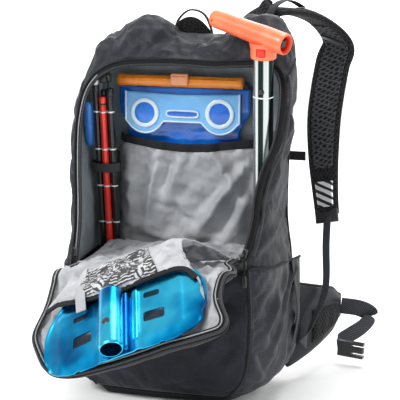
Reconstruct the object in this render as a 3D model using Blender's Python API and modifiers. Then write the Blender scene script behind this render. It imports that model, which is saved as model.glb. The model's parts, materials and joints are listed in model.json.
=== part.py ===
"""Ski touring backpack with its front flap open, loaded with a snow shovel, a folded probe and a drinking bladder.

Frame: +X to the pack's right as seen from its front, -Y out of the front opening, +Y to the wearer's back, +Z up.
Lengths are in millimetres until a mesh is built.
"""
import math

import bmesh
import bpy
from mathutils import Matrix, Quaternion, Vector

MM = 0.001
GAP = 0.4            # clearance between neighbouring pieces

# ---- driving dimensions -------------------------------------------------
BACK_Y = 86.0        # inner face of the back panel
BACK_T = 7.0         # back panel thickness
WALL = 2.4           # padded fabric wall
HINGE_MID = Vector((-3.5, -92.0, 213.0))
HINGE_TILT = 5.73    # the flap's fold line rises to the right
RIM_LEAN = 16.6      # the opening's plane leans back from the vertical
TAPE_W = 10.0        # zip tape width
FLAP_OPEN = 101.3    # rest angle of the flap, from closed
CREASE_AT = 132.0    # where the flap's fabric folds, up from the hinge
CREASE_SLANT = 17.2
CREASE_BEND = 44.4
TRAY = 28.0          # depth of the flap's tray
BLADE_AT = (20.0, 240.0)
BLADE_TURN = -9.5
BLADE_TILT = -0.004   # the blade leans out of the tray towards its socket
SHAFT_R = (14.6, 13.2)
SHAFT_FOOT = Vector((130.0, 22.0, 66.0))
SHAFT_TOP = Vector((141.5, -38.5, 524.0))
GRIP_AXIS = Vector((0.885, -0.401, -0.232)).normalized()
PROBE_R = 5.4

# ---- scene ---------------------------------------------------------------
for old in list(bpy.data.objects):
    bpy.data.objects.remove(old, do_unlink=True)
PARTS = bpy.data.collections.new("ski_touring_backpack")
CUTTERS = bpy.data.collections.new("cutters")
bpy.context.scene.collection.children.link(PARTS)
bpy.context.scene.collection.children.link(CUTTERS)
CUTTERS.hide_render = True

COLOURS = {
    "shell_fabric": ((0.075, 0.078, 0.088), 0.62, 0.0),
    "lining_fabric": ((0.42, 0.44, 0.47), 0.75, 0.0),
    "black_webbing": ((0.02, 0.02, 0.023), 0.7, 0.0),
    "grey_webbing": ((0.12, 0.13, 0.14), 0.7, 0.0),
    "mesh_pad": ((0.05, 0.05, 0.055), 0.85, 0.0),
    "black_plastic": ((0.02, 0.02, 0.02), 0.4, 0.0),
    "blade_alloy": ((0.02, 0.42, 0.75), 0.3, 0.8),
    "shaft_alloy": ((0.7, 0.72, 0.74), 0.25, 1.0),
    "grip_plastic": ((0.95, 0.25, 0.12), 0.4, 0.0),
    "probe_black": ((0.015, 0.015, 0.016), 0.3, 0.2),
    "probe_red": ((0.85, 0.05, 0.03), 0.35, 0.1),
    "bladder_film": ((0.04, 0.25, 0.75), 0.2, 0.0),
    "closure_plastic": ((0.95, 0.35, 0.03), 0.35, 0.0),
    "blue_plastic": ((0.02, 0.18, 0.6), 0.4, 0.0),
    "frame_plastic": ((0.1, 0.1, 0.1), 0.5, 0.0),
    "frame_alloy": ((0.6, 0.6, 0.62), 0.4, 1.0),
    "zip_metal": ((0.1, 0.1, 0.11), 0.35, 0.8),
}


def material(part, slot):
    colour, rough, metal = COLOURS[slot]
    made = bpy.data.materials.new(part)
    made.use_nodes = True
    node = made.node_tree.nodes["Principled BSDF"]
    node.inputs["Base Color"].default_value = (*colour, 1.0)
    node.inputs["Roughness"].default_value = rough
    node.inputs["Metallic"].default_value = metal
    made.diffuse_color = (*colour, 1.0)
    return made


def add(name, mesh, slot, parent=None, smooth=True):
    obj = bpy.data.objects.new(name, mesh)
    PARTS.objects.link(obj)
    mesh.materials.append(material(name, slot))
    if smooth:
        mesh.shade_smooth()
        mesh.set_sharp_from_angle(angle=math.radians(45))
    if parent is not None:
        obj.parent = parent
    return obj


def finish(bm, name, slot, origin=None, parent=None, smooth=True):
    """Turn a bmesh in millimetres into an object whose origin is at origin."""
    origin = origin or Vector((0, 0, 0))
    bmesh.ops.remove_doubles(bm, verts=bm.verts, dist=0.01)
    bmesh.ops.recalc_face_normals(bm, faces=bm.faces)
    for v in bm.verts:
        v.co = (v.co - origin) * MM
    mesh = bpy.data.meshes.new(name)
    bm.to_mesh(mesh)
    bm.free()
    obj = add(name, mesh, slot, parent, smooth)
    if parent is None:
        obj.location = origin * MM
    return obj


# ---- shape tools ---------------------------------------------------------
def lerp(a, b, t):
    return a + (b - a) * t


def smooth01(t):
    t = min(1.0, max(0.0, t))
    return t * t * (3 - 2 * t)


def spline(points, t):
    """Catmull-Rom through points, t counted in points."""
    n = len(points) - 1
    t = min(max(t, 0.0), float(n))
    i = min(int(t), n - 1)
    f = t - i
    p1, p2 = points[i], points[i + 1]
    p0 = points[i - 1] if i > 0 else p1 + (p1 - p2)
    p3 = points[i + 2] if i + 2 <= n else p2 + (p2 - p1)
    return (p1 * 2 + (p2 - p0) * f + (p0 * 2 - p1 * 5 + p2 * 4 - p3) * f * f + (p1 * 3 - p0 - p2 * 3 + p3) * f ** 3) * 0.5


def slab(name, nu, nv, low, high, slot, origin=None, parent=None, us=None, vs=None):
    """A closed sheet: a grid for each face, low(u, v) and high(u, v), joined round the edge."""
    bm = bmesh.new()
    bmesh.ops.create_grid(bm, x_segments=nu, y_segments=nv, size=0.5)
    first = list(bm.verts)
    at = {v: (v.co.x + 0.5, v.co.y + 0.5) for v in first}
    made = bmesh.ops.extrude_face_region(bm, geom=list(bm.faces), use_keep_orig=True)
    upper = [v for v in made["geom"] if isinstance(v, bmesh.types.BMVert)]

    def place(u, v):
        if us is not None:
            u = us[int(round(u * nu))]
        if vs is not None:
            v = vs[int(round(v * nv))]
        return u, v

    spots = {v: (v.co.x + 0.5, v.co.y + 0.5) for v in upper}
    for v, (a, b) in at.items():
        v.co = low(*place(a, b))
    for v, (a, b) in spots.items():
        v.co = high(*place(a, b))
    return finish(bm, name, slot, origin, parent)


def band(name, path, side, width, thick, slot, nu=12, nv=1, origin=None, parent=None, crown=0.0, span=(0.0, 1.0)):
    """Flat webbing or a pad along path(u); side(u) is its width direction."""
    def frame(u):
        u = lerp(span[0], span[1], u)
        e = 1e-3
        p = path(u)
        tangent = (path(min(1, u + e)) - path(max(0, u - e))).normalized()
        w = side(u)
        w = (w - tangent * w.dot(tangent)).normalized()
        return p, w, tangent.cross(w).normalized(), u

    def skin(sign):
        def at(a, b):
            p, w, n, u = frame(a)
            wide = width(u) if callable(width) else width
            deep = thick(u) if callable(thick) else thick
            edge = abs(2 * b - 1)
            return p + w * wide * (b - 0.5) + n * sign * deep * 0.5 * (1 - crown * edge ** 3)
        return at
    return slab(name, nu, nv, skin(-1), skin(1), slot, origin, parent)


def through(points, sides=None):
    pts = [Vector(p) for p in points]
    path = lambda u: spline(pts, u * (len(pts) - 1))
    if sides is None:
        return path
    ws = [Vector(s) for s in sides]
    return path, lambda u: spline(ws, u * (len(ws) - 1)).normalized()


def block(name, size, centre, slot, turn=None, bevel=1.0, origin=None, parent=None, segments=1):
    """A box with rounded edges, turned by the quaternion turn."""
    bm = bmesh.new()
    bmesh.ops.create_cube(bm, size=1.0)
    turn = turn or Quaternion()
    for v in bm.verts:
        v.co = turn @ Vector((v.co.x * size[0], v.co.y * size[1], v.co.z * size[2])) + Vector(centre)
    obj = finish(bm, name, slot, origin, parent)
    if bevel:
        mod = obj.modifiers.new("rounding", "BEVEL")
        mod.width = bevel * MM
        mod.segments = segments
        mod.limit_method = "ANGLE"
    return obj


def turned(name, start, axis, rings, slot, sides=12, oval=1.0, flat=None, origin=None, parent=None, bore=None):
    """A body along axis whose rings are (distance, radius); bore is a list of (distance, radius) for a through hole."""
    axis = Vector(axis).normalized()
    a = Vector(flat) if flat is not None else axis.orthogonal()
    a = (a - axis * a.dot(axis)).normalized()
    b = axis.cross(a)
    bm = bmesh.new()
    loops = []
    for d, r in list(rings) + [(d, r) for d, r in reversed(bore or [])]:
        loop = []
        for i in range(sides):
            t = 2 * math.pi * i / sides
            loop.append(bm.verts.new(Vector(start) + axis * d + a * r * math.cos(t) + b * r * oval * math.sin(t)))
        loops.append(loop)
    pairs = list(zip(loops, loops[1:])) + ([(loops[-1], loops[0])] if bore else [])
    for p, q in pairs:
        for i in range(sides):
            j = (i + 1) % sides
            bm.faces.new((p[i], p[j], q[j], q[i]))
    if not bore:
        bm.faces.new(loops[0])
        bm.faces.new(loops[-1])
    return finish(bm, name, slot, origin, parent)


def cutter(name, size, centre, turn=None, round_=False, sides=16):
    bm = bmesh.new()
    if round_:
        bmesh.ops.create_cone(bm, cap_ends=True, segments=sides, radius1=0.5, radius2=0.5, depth=1.0)
    else:
        bmesh.ops.create_cube(bm, size=1.0)
    turn = turn or Quaternion()
    for v in bm.verts:
        v.co = (turn @ Vector((v.co.x * size[0], v.co.y * size[1], v.co.z * size[2])) + Vector(centre)) * MM
    mesh = bpy.data.meshes.new(name)
    bm.to_mesh(mesh)
    bm.free()
    obj = bpy.data.objects.new(name, mesh)
    CUTTERS.objects.link(obj)
    obj.hide_render = True
    obj.display_type = "WIRE"
    return obj


def boolean(obj, tool, kind="DIFFERENCE"):
    mod = obj.modifiers.new(tool.name, "BOOLEAN")
    mod.operation = kind
    mod.solver = "EXACT"
    mod.object = tool
    if obj.parent is not None:
        tool.parent = obj.parent


# ---- the opening's plane: s along the fold line, w up it, n outward -------
K = Vector((math.cos(math.radians(HINGE_TILT)), 0, math.sin(math.radians(HINGE_TILT))))
_lean = math.radians(RIM_LEAN)
UP = Vector((0, math.sin(_lean), math.cos(_lean)))
UP = (UP - K * UP.dot(K)).normalized()
NRM = K.cross(UP).normalized()


def in_plane(s, w, n=0.0):
    return HINGE_MID + K * s + UP * w + NRM * n


# inner edge of the body's zip tape, from the left end of the fold line over the top to the right end
RIM = [Vector(p + (0,)) for p in (
    (-121, 3), (-116, 50), (-115, 94), (-116, 138), (-116, 182), (-114, 216), (-106, 253), (-91, 276),
    (-70, 288), (-45, 293), (-10, 292), (22, 290), (56, 286), (92, 281), (122, 280), (152, 278),
    (177, 273), (189, 252), (188, 212), (179, 165), (162, 128), (151, 90), (146, 54), (138, 23), (130, 2))]
RIM_N = len(RIM) - 1


def rim(q, outward=0.0):
    """(s, w) on the rim at q from 0 to 1, moved outward in the plane."""
    p = spline(RIM, q * RIM_N)
    if outward:
        e = 2e-3
        t = spline(RIM, min(1, q + e) * RIM_N) - spline(RIM, max(0, q - e) * RIM_N)
        t.normalize()
        p = p + Vector((-t.y, t.x, 0)) * outward
    return p


def rim3(q, outward=0.0, n=0.0):
    p = rim(q, outward)
    return in_plane(p.x, p.y, n)


# ---- the body's shell: stations from the left bottom over the top to the right bottom ----
# each station is (back edge x, z), (bulge x, y, z); the front edge is the rim or the front seam
SEAM_L = [Vector(p) for p in ((-100, -72, 14), (-128, -88, 54), (-137, -95, 110), (-138, -97, 160))]
SEAM_R = [Vector((-p.x + 2, p.y, p.z)) for p in SEAM_L]
BACK_CTRL = (
    ((-120, 12), (-150, -35, 10)), ((-148, 50), (-172, -50, 48)), ((-156, 110), (-172, -58, 110)),
    ((-157, 165), (-170, -58, 165)),
    ((-156, 215), (-165, -56, 213)), ((-153, 260), (-166, -42, 258)), ((-152, 300), (-172, -32, 300)),
    ((-152, 345), (-177, -20, 345)), ((-152, 390), (-181, -8, 392)), ((-151, 430), (-177, 0, 430)),
    ((-147, 470), (-156, 8, 472)), ((-135, 505), (-136, 20, 540)), ((-105, 530), (-108, 40, 566)),
    ((-70, 540), (-66, 50, 594)), ((-40, 536), (-40, 50, 580)), ((-12, 530), (-14, 45, 546)),
    ((20, 528), (20, 45, 541)), ((55, 531), (55, 45, 548)), ((88, 540), (88, 45, 580)),
    ((120, 545), (126, 40, 598)), ((150, 532), (166, 30, 562)), ((157, 498), (178, 15, 505)),
    ((154, 450), (181, 5, 452)), ((152, 405), (181, -5, 405)), ((150, 355), (176, -20, 355)),
    ((149, 310), (171, -32, 312)), ((149, 266), (166, -42, 270)), ((152, 236), (163, -50, 240)),
    ((156, 208), (166, -56, 215)), ((158, 165), (170, -58, 165)), ((157, 110), (172, -58, 110)),
    ((149, 50), (172, -50, 48)), ((121, 12), (151, -35, 10)))
N_ST = len(BACK_CTRL) - 1          # 32
FIRST, LAST = 4, 28                # the fold line's ends
B_PTS = [Vector((b[0], BACK_Y, b[1])) for b, c in BACK_CTRL]
C_PTS = [Vector(c) for b, c in BACK_CTRL]


def front_edge(s):
    """The shell's front edge at station s."""
    pts = SEAM_L + [rim3((i - FIRST) / RIM_N, TAPE_W) for i in range(FIRST, LAST + 1)] + SEAM_R[::-1]
    return spline(pts, s)


_EDGE = [front_edge(i) for i in range(N_ST + 1)]


def shell_point(s, t):
    b, c, r = spline(B_PTS, s), spline(C_PTS, s), spline(_EDGE, s)
    return b * (1 - t) ** 2 + c * 2 * t * (1 - t) + r * t * t


def shell_normal(s, t):
    e = 0.02
    ds = shell_point(min(N_ST, s + e), t) - shell_point(max(0, s - e), t)
    dt = shell_point(s, min(1, t + e)) - shell_point(s, max(0, t - e))
    n = ds.cross(dt).normalized()
    centre = Vector((0, 0, 300))
    return n if n.dot(shell_point(s, t) - centre) > 0 else -n


def shell_panel(name, s0, s1, nu, nv, slot="shell_fabric", out=0.0, thick=WALL, t0=0.0, t1=1.0):
    def low(u, v):
        s, t = lerp(s0, s1, u), lerp(t0, t1, v)
        return shell_point(s, t) + shell_normal(s, t) * out

    def high(u, v):
        s, t = lerp(s0, s1, u), lerp(t0, t1, v)
        return shell_point(s, t) + shell_normal(s, t) * (out - thick)
    return slab(name, nu, nv, low, high, slot)


shell_panel("side_wall_left", 0.0, 10.0 - 0.01, 10, 4)
shell_panel("hood", 10.0, 21.0, 22, 5)
shell_panel("side_wall_right", 21.06, 32.0, 11, 4)

# lower front panel, between the front seams and below the fold line
def front_panel(inset):
    def at(u, v):
        left, right = spline(_EDGE, lerp(0.05, 3.72, v)), spline(_EDGE, lerp(31.95, 28.28, v))
        left = left + Vector((-0.4, -WALL - 0.7, 0))
        right = right + Vector((0.4, -WALL - 0.7, 0))
        p = lerp(left, right, u)
        belly = math.sin(math.pi * u) ** 0.7 * (5 + 9 * math.sin(math.pi * min(1, v * 0.9 + 0.1)))
        return p + Vector((0, -belly + inset, 0))
    return at


slab("lower_front", 8, 5, front_panel(0.0), front_panel(WALL), "shell_fabric")

# base: a shallow dish with a flat foot, following the walls' lower edges
US = [0, 0.07, 0.2, 0.4, 0.6, 0.8, 0.93, 1]
VS = [0, 0.09, 0.3, 0.6, 0.88, 1]


def base_at(inset):
    def at(u, v):
        left, right = shell_point(0, 1 - v), shell_point(N_ST, 1 - v)
        p = lerp(left, right, u)
        p = Vector((p.x * 0.955, lerp(p.y, 6.0, 0.05) - 7 * math.sin(math.pi * u) * (1 - v) ** 3, p.z - 3.2))
        edge = u < 0.001 or u > 0.999 or v < 0.001 or v > 0.999
        return Vector((p.x, p.y, (p.z if edge else 0.0) + inset))
    return at


slab("base", 7, 5, base_at(0.0), base_at(WALL), "shell_fabric", us=US, vs=VS)

# body side of the zip: a tape along the rim
def tape(name, q0, q1, nu, near, far, n0, n1, slot, origin=None, parent=None):
    def at(n):
        def f(u, v):
            return rim3(lerp(q0, q1, u), lerp(near, far, v), n)
        return f
    return slab(name, nu, 1, at(n0), at(n1), slot, origin, parent)


tape("body_zip_tape", 0.0, 1.0, 44, 0.0, TAPE_W - 4.0, -0.8, 0.8, "black_webbing")

# ---- back panel, frame and pads -------------------------------------------
def outline_panel(y, scale, nu_fn=None):
    """Maps (u, v) to the back panel's outline: v from bottom to top."""
    def at(u, v):
        left, right = spline(B_PTS, 1.0 + 9.6 * v), spline(B_PTS, 31.0 - 9.9 * v)
        p = lerp(left, right, u)
        top = spline(B_PTS, 10.6 + 10.5 * u)
        lift = (top.z - lerp(spline(B_PTS, 10.6).z, spline(B_PTS, 21.1).z, u)) * smooth01((v - 0.75) / 0.25)
        c = Vector((0, 0, 280))
        q = Vector((p.x, 0, p.z + lift))
        q = c + (q - c) * scale
        return Vector((q.x, y, q.z))
    return at


slab("back_panel", 8, 9, outline_panel(BACK_Y + GAP, 0.995), outline_panel(BACK_Y + BACK_T, 0.995), "mesh_pad")
slab("frame_sheet", 4, 6, outline_panel(79.6, 0.86), outline_panel(81.4, 0.86), "frame_plastic")


def pad_at(cx, depth):
    def at(u, v):
        a, b = 2 * u - 1, 2 * v - 1
        x = cx + 34 * a * math.sqrt(1 - 0.35 * b * b)
        z = 268 + 172 * b * math.sqrt(1 - 0.3 * a * a)
        crown = (1 - abs(a) ** 3) * (1 - abs(b) ** 5)
        return Vector((x, BACK_Y + BACK_T + GAP + depth * (2.0 + 13.0 * crown), z))
    return at


for side, cx in (("left", -62), ("right", 62)):
    slab("back_pad_" + side, 5, 7, pad_at(cx, 0.0), pad_at(cx, 1.0), "mesh_pad")
block("lumbar_pad", (170, 13, 62), (0, BACK_Y + BACK_T + 7.2, 48), "mesh_pad", bevel=5, segments=2)

# mesh collar behind the hood's dip, and the grab loop
def collar_at(off):
    def at(u, v):
        x = lerp(-46, 30, u)
        rise = math.sin(math.pi * u) ** 0.7
        z = lerp(505, 516 + 38 * rise, v)
        return Vector((x, 94.2 + off + 3 * math.sin(math.pi * v), z))
    return at


slab("mesh_collar", 8, 3, collar_at(0.0), collar_at(4.0), "mesh_pad")
loop = through([(-38, 105.5, 508), (-37, 105.5, 530), (-30, 105.5, 552), (-12, 105.5, 566), (10, 105.5, 560), (22, 105.5, 536), (25, 105.5, 508)])
band("grab_loop", loop, lambda u: Vector((0, 1, 0)), 7.0, 2.0, "black_webbing", nu=14)

# ---- inside: bladder sleeve, ledge, tool loop --------------------------------
def sleeve_at(off):
    def at(u, v):
        x = lerp(-114, 113, u)
        z = lerp(70, 366 - 9 * math.sin(math.pi * u) ** 2, v)
        bow = math.sin(math.pi * u) ** 0.32
        y = 77.5 - 34 * bow * (0.55 + 0.45 * v)
        return Vector((x, y + off, z))
    return at


slab("hydration_sleeve", 10, 5, sleeve_at(0.0), sleeve_at(-1.4), "lining_fabric")


def binding_at(off):
    def at(u, v):
        p = sleeve_at(0.0)(u, 1.0)
        return p + Vector((0, off, GAP + 11 * v))
    return at


slab("sleeve_binding", 10, 1, binding_at(0.8), binding_at(-2.2), "grey_webbing")


def ledge_at(off):
    def at(u, v):
        left = lerp(-122.0, -118.0, v)
        right = lerp(121.0, 108.0, smooth01(v * 2.2))
        x = lerp(left, right, u)
        y = lerp(-84.0, 29.0, v)
        z = 205 + (x + 122) * 0.082 * (1 - 0.6 * v) + 10 * v - 3 * math.sin(math.pi * v)
        return Vector((x, y, z + off))
    return at


slab("lining_ledge", 8, 5, ledge_at(0.0), ledge_at(-1.6), "lining_fabric")

# ---- probe: four folded segments side by side, held by a loop on the left wall ----
PROBE_FOOT, PROBE_HEAD = Vector((-120.0, 56.0, 70.0)), Vector((-122.0, 14.0, 462.0))
PROBE_AXIS = (PROBE_HEAD - PROBE_FOOT).normalized()
PROBE_SIDE = (Vector((1, 0, 0)) - PROBE_AXIS * PROBE_AXIS.x).normalized()
PROBE_FRONT = PROBE_SIDE.cross(PROBE_AXIS).normalized()
if PROBE_FRONT.y > 0:
    PROBE_FRONT = -PROBE_FRONT
rows = {"probe_segment_left": (-11.4, 1.0, 0, 392), "probe_segment_red": (0.0, 4.2, 0, 372), "probe_segment_right": (11.4, 1.0, 0, 385), "probe_segment_rear": (-1.0, -7.0, 0, 380)}
for name, (a, f, d0, d1) in rows.items():
    start = PROBE_FOOT + PROBE_SIDE * a + PROBE_FRONT * f
    turned(name, start, PROBE_AXIS, [(d0, PROBE_R - 1), (d0 + 1, PROBE_R), (d1 - 1, PROBE_R), (d1, PROBE_R - 1)],
           "probe_red" if "red" in name else "probe_black", sides=10)
tip = PROBE_FOOT + PROBE_SIDE * -24.6 + PROBE_FRONT * 3.0
turned("probe_tip_cap", tip, PROBE_AXIS, [(296, 3.0), (300, 6.2), (330, 7.2), (358, 7.0), (362, 5.0)], "blue_plastic", sides=10)
turned("probe_head", PROBE_FOOT + PROBE_SIDE * 2 + PROBE_FRONT * -1 + PROBE_AXIS * 393.0, PROBE_AXIS, [(0, 11), (2, 13), (12, 12), (16, 8)],
       "black_plastic", sides=10, oval=0.7, flat=PROBE_SIDE)

# elastic loop round the probe
loop_c = PROBE_FOOT + PROBE_AXIS * 262.0
ring = []
for i in range(13):
    t = math.pi * (1.08 + i * 1.84 / 12)
    ring.append(loop_c + PROBE_SIDE * (-1 + 23.5 * -math.cos(t)) + PROBE_FRONT * (-2 + 15.5 * -math.sin(t)))
band("tool_loop", through(ring), lambda u: PROBE_AXIS, 13.0, 1.6, "grey_webbing", nu=14)

# ---- drinking bladder ---------------------------------------------------------
def bag_at(sign):
    def at(u, v):
        a, b = 2 * u - 1, 2 * v - 1
        z = lerp(120, 452, v)
        above = smooth01((z - 382) / 40)
        x = lerp(lerp(-100, -110, above), lerp(78, 97, above), u)
        fat = (1 - abs(a) ** 4) * (1 - abs(b) ** 6)
        y = lerp(69.5, 57.0, above) + sign * (1.1 + 6.0 * fat)
        return Vector((x, y, z))
    return at


slab("bladder_bag", 6, 9, bag_at(1), bag_at(-1), "bladder_film")
turned("bladder_slide_closure", Vector((-113, 57, 461)), (1, 0, 0), [(0, 7.5), (2, 9), (198, 9), (200, 7.5)], "closure_plastic", sides=10, oval=0.62, flat=(0, 0, 1))
block("bladder_clip", (26, 7, 17), (-11, 47.5, 465), "closure_plastic", bevel=1.5)

# ---- shovel handle --------------------------------------------------------------
SHAFT_AXIS = (SHAFT_TOP - SHAFT_FOOT).normalized()
SHAFT_LEN = (SHAFT_TOP - SHAFT_FOOT).length
across = (Vector((1, 0, 0)) - SHAFT_AXIS * SHAFT_AXIS.x).normalized()
fore = SHAFT_AXIS.cross(across).normalized()
if fore.y > 0:
    fore = -fore
oval = SHAFT_R[1] / SHAFT_R[0]
shaft = turned("shovel_shaft", SHAFT_FOOT, SHAFT_AXIS,
               [(0, SHAFT_R[0] - 0.8), (1.5, SHAFT_R[0]), (SHAFT_LEN - 2, SHAFT_R[0]), (SHAFT_LEN, SHAFT_R[0] - 0.8)], "shaft_alloy", sides=18,
               oval=oval, flat=across, origin=SHAFT_FOOT, bore=[(0, SHAFT_R[0] - 1.8), (SHAFT_LEN, SHAFT_R[0] - 1.8)])
btn_at = SHAFT_FOOT + SHAFT_AXIS * (SHAFT_LEN - 62.0)
turn_btn = Vector((0, 0, 1)).rotation_difference(fore)
hole = cutter("shaft_button_hole", (9.2, 9.2, 12), btn_at + fore * 13.0, turn_btn, round_=True, sides=12)
hole.location = Vector((0, 0, 0))
boolean(shaft, hole)
turned("shaft_button", btn_at + fore * 5.6, fore, [(0, 6.0), (1.6, 6.0), (1.7, 4.1), (9.0, 4.1), (10.0, 2.6)], "black_plastic", sides=10,
       origin=btn_at + fore * 5.6)

# T-grip: a hollow oval tube across the shaft's head, with a neck round the shaft
GRIP_C = SHAFT_TOP + SHAFT_AXIS * 16.0
gside = (SHAFT_AXIS - GRIP_AXIS * SHAFT_AXIS.dot(GRIP_AXIS)).normalized()
grip = turned("shovel_grip", GRIP_C - GRIP_AXIS * 98, GRIP_AXIS,
              [(0, 11.5), (3, 13.2), (60, 14.0), (96, 15.5), (134, 15.6), (140, 15.0)], "grip_plastic", sides=16, oval=0.95, flat=gside,
              origin=GRIP_C, bore=[(0, 9.5), (60, 10.6), (140, 12.6)])


def ring_cutter(name, start, axis, rings, sides, oval_, flat, bore=None):
    obj = turned(name, start, axis, rings, "grip_plastic", sides=sides, oval=oval_, flat=flat, bore=bore)
    PARTS.objects.unlink(obj)
    CUTTERS.objects.link(obj)
    obj.hide_render = True
    obj.display_type = "WIRE"
    return obj


neck = ring_cutter("grip_neck", SHAFT_TOP - SHAFT_AXIS * 16.0, SHAFT_AXIS, [(0, 17.4), (2, 18.2), (16, 18.4), (22, 19)], 18, 0.9, across)
boolean(grip, neck, "UNION")
socket = ring_cutter("grip_socket", SHAFT_TOP - SHAFT_AXIS * 20.0, SHAFT_AXIS, [(0, 15.1), (20.6, 15.1)], 18, 0.905, across)
boolean(grip, socket)
relief = ring_cutter("grip_bore", GRIP_C - GRIP_AXIS * 96, GRIP_AXIS, [(0, 9.3), (58, 10.4), (137, 12.4)], 16, 0.93, gside)
boolean(grip, relief)

# ---- flap: two stiff halves either side of a soft crease ----------------------------
CR = math.radians(CREASE_SLANT)
CREASE_DIR = K * math.cos(CR) + UP * math.sin(CR)
CREASE_UP = UP * math.cos(CR) - K * math.sin(CR)
CREASE_C = in_plane(0, CREASE_AT)
QC_LEFT, QC_RIGHT = 7 / 24, 15.6 / 24


def from_crease(s, w):
    return -s * math.sin(CR) + (w - CREASE_AT) * math.cos(CR)


def flap_sw(u, v):
    """Coons patch over the opening's outline, a little inside the body's tape."""
    def edge(q):
        p = rim(q, -1.2)
        return Vector((p.x, max(p.y, 5.0), 0))
    left, right = edge(QC_LEFT * v), edge(1 - (1 - QC_RIGHT) * v)
    bottom = lerp(edge(0), edge(1), u)
    top = edge(lerp(QC_LEFT, QC_RIGHT, u))
    c00, c10, c01, c11 = edge(0), edge(1), edge(QC_LEFT), edge(QC_RIGHT)
    p = bottom * (1 - v) + top * v + left * (1 - u) + right * u
    return p - (c00 * (1 - u) * (1 - v) + c10 * u * (1 - v) + c01 * (1 - u) * v + c11 * u * v)


def tray(u, v):
    a = max(0.0, 1 - abs(2 * u - 1) ** 5) ** 0.6
    p = flap_sw(u, v)
    b = smooth01((p.y - 12) / 60)
    c = max(0.0, 1 - v ** 7) ** 0.6
    waist = 1 - 0.5 * math.exp(-(from_crease(p.x, p.y) / 34.0) ** 2)
    return TRAY * a * b * c * waist


def crease_v(u):
    lo, hi = 0.0, 1.0
    for _ in range(40):
        m = (lo + hi) / 2
        p = flap_sw(u, m)
        if from_crease(p.x, p.y) < 0:
            lo = m
        else:
            hi = m
    return lo


def flap_surface(half, off, share=1.0):
    """half 0 is the part by the hinge, 1 the far part; off moves it inward, share scales the tray's depth."""
    def at(u, v):
        vc = crease_v(u)
        vv = lerp(0.0, vc, v) if half == 0 else lerp(vc, 1.0, v)
        p = flap_sw(u, vv)
        n = tray(u, vv) * share - off
        at_crease = v > 0.999 if half == 0 else v < 0.001
        if at_crease:
            clear = 1.6 + max(0.0, n) * math.tan(math.radians(CREASE_BEND / 2)) * 1.06
            move = -clear if half == 0 else clear
            p = p + Vector((-math.sin(CR), math.cos(CR), 0)) * move
        return in_plane(p.x, p.y, n)
    return at


flap_fold = bpy.data.objects.new("flap_fold_axis", None)
flap_fold.empty_display_size = 0.03
PARTS.objects.link(flap_fold)
flap_fold.location = HINGE_MID * MM
flap_fold.rotation_mode = "QUATERNION"
flap_fold.rotation_quaternion = Quaternion(K, math.radians(FLAP_OPEN))
flap_crease = bpy.data.objects.new("flap_crease_axis", None)
flap_crease.empty_display_size = 0.03
PARTS.objects.link(flap_crease)
flap_crease.parent = flap_fold
flap_crease.location = (CREASE_C - HINGE_MID) * MM
flap_crease.rotation_mode = "QUATERNION"
flap_crease.rotation_quaternion = Quaternion(CREASE_DIR, math.radians(CREASE_BEND))

EDGE_US = [0, 0.03, 0.08, 0.18, 0.34, 0.5, 0.66, 0.82, 0.92, 0.97, 1]
for half, tag, origin, parent, nv in ((0, "lower", HINGE_MID, flap_fold, 4), (1, "upper", CREASE_C, flap_crease, 6)):
    vs = [0, 0.25, 0.5, 0.75, 1] if half == 0 else [0, 0.25, 0.5, 0.75, 0.9, 0.97, 1]
    slab("flap_shell_" + tag, 10, nv, flap_surface(half, 0.0), flap_surface(half, 1.8), "shell_fabric", origin, parent, us=EDGE_US, vs=vs)
    slab("flap_lining_" + tag, 10, nv, flap_surface(half, 2.4, 0.25), flap_surface(half, 3.6, 0.25), "lining_fabric", origin, parent, us=EDGE_US, vs=vs)

# the flap's half of the zip, round its far part
def crease_q(lo, hi):
    for _ in range(40):
        m = (lo + hi) / 2
        p = rim(m, -1.2)
        if from_crease(p.x, p.y) < 6.0:
            lo = m
        else:
            hi = m
    return (lo + hi) / 2


Q0, Q1 = crease_q(0.0, 0.4), crease_q(1.0, 0.6)
tape("flap_zip_tape", Q0, Q1, 34, -7.5, -1.2, -5.2, -4.0, "black_webbing", CREASE_C, flap_crease)

# ---- shovel blade, lying in the flap's pocket -----------------------------------------
BT = math.radians(BLADE_TURN)


def blade_frame(t, l, n):
    """t across the blade, l towards its socket, n outward from the flap's plane."""
    s = BLADE_AT[0] + t * math.cos(BT) - l * math.sin(BT)
    w = BLADE_AT[1] + t * math.sin(BT) + l * math.cos(BT)
    return in_plane(s, w, n)


BL0, BL1, BW, BLADE_DISH = -143.0, 38.0, 120.0, 14.0


def blade_lift(l):
    return -20.5 + BLADE_TILT * l


def blade_at(off):
    def at(u, v):
        b = 2 * u - 1
        l = lerp(BL0, BL1, v)
        half = lerp(84.0, BW, smooth01((l - BL0) / 100.0)) - 7.0 * smooth01((l - 8.0) / 39.0)
        corner = 16.0 * abs(b) ** 5
        n = blade_lift(l) + BLADE_DISH * (b * half / BW) ** 2 - off
        l = l - corner * (1 if v > 0.97 else 0) + corner * (1 if v < 0.03 else 0)
        return blade_frame(b * half, l, n)
    return at


BUS = [0, 0.06, 0.16, 0.3, 0.42, 0.5, 0.58, 0.7, 0.84, 0.94, 1]
blade = slab("shovel_blade", 10, 8, blade_at(0.0), blade_at(2.0), "blade_alloy", CREASE_C, flap_crease, us=BUS)
along = (blade_frame(0, 1, BLADE_TILT) - blade_frame(0, 0, 0)).normalized()
abreast = (blade_frame(1, 0, 0) - blade_frame(0, 0, 0)).normalized()
square = Matrix((abreast, along, abreast.cross(along))).transposed().to_quaternion()
for i, t in enumerate((-53.0, 53.0)):
    slot_cut = cutter("blade_slot_%d" % i, (29, 18, 40), blade_frame(t, 0, -10) - CREASE_C, square)
    boolean(blade, slot_cut)
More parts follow.
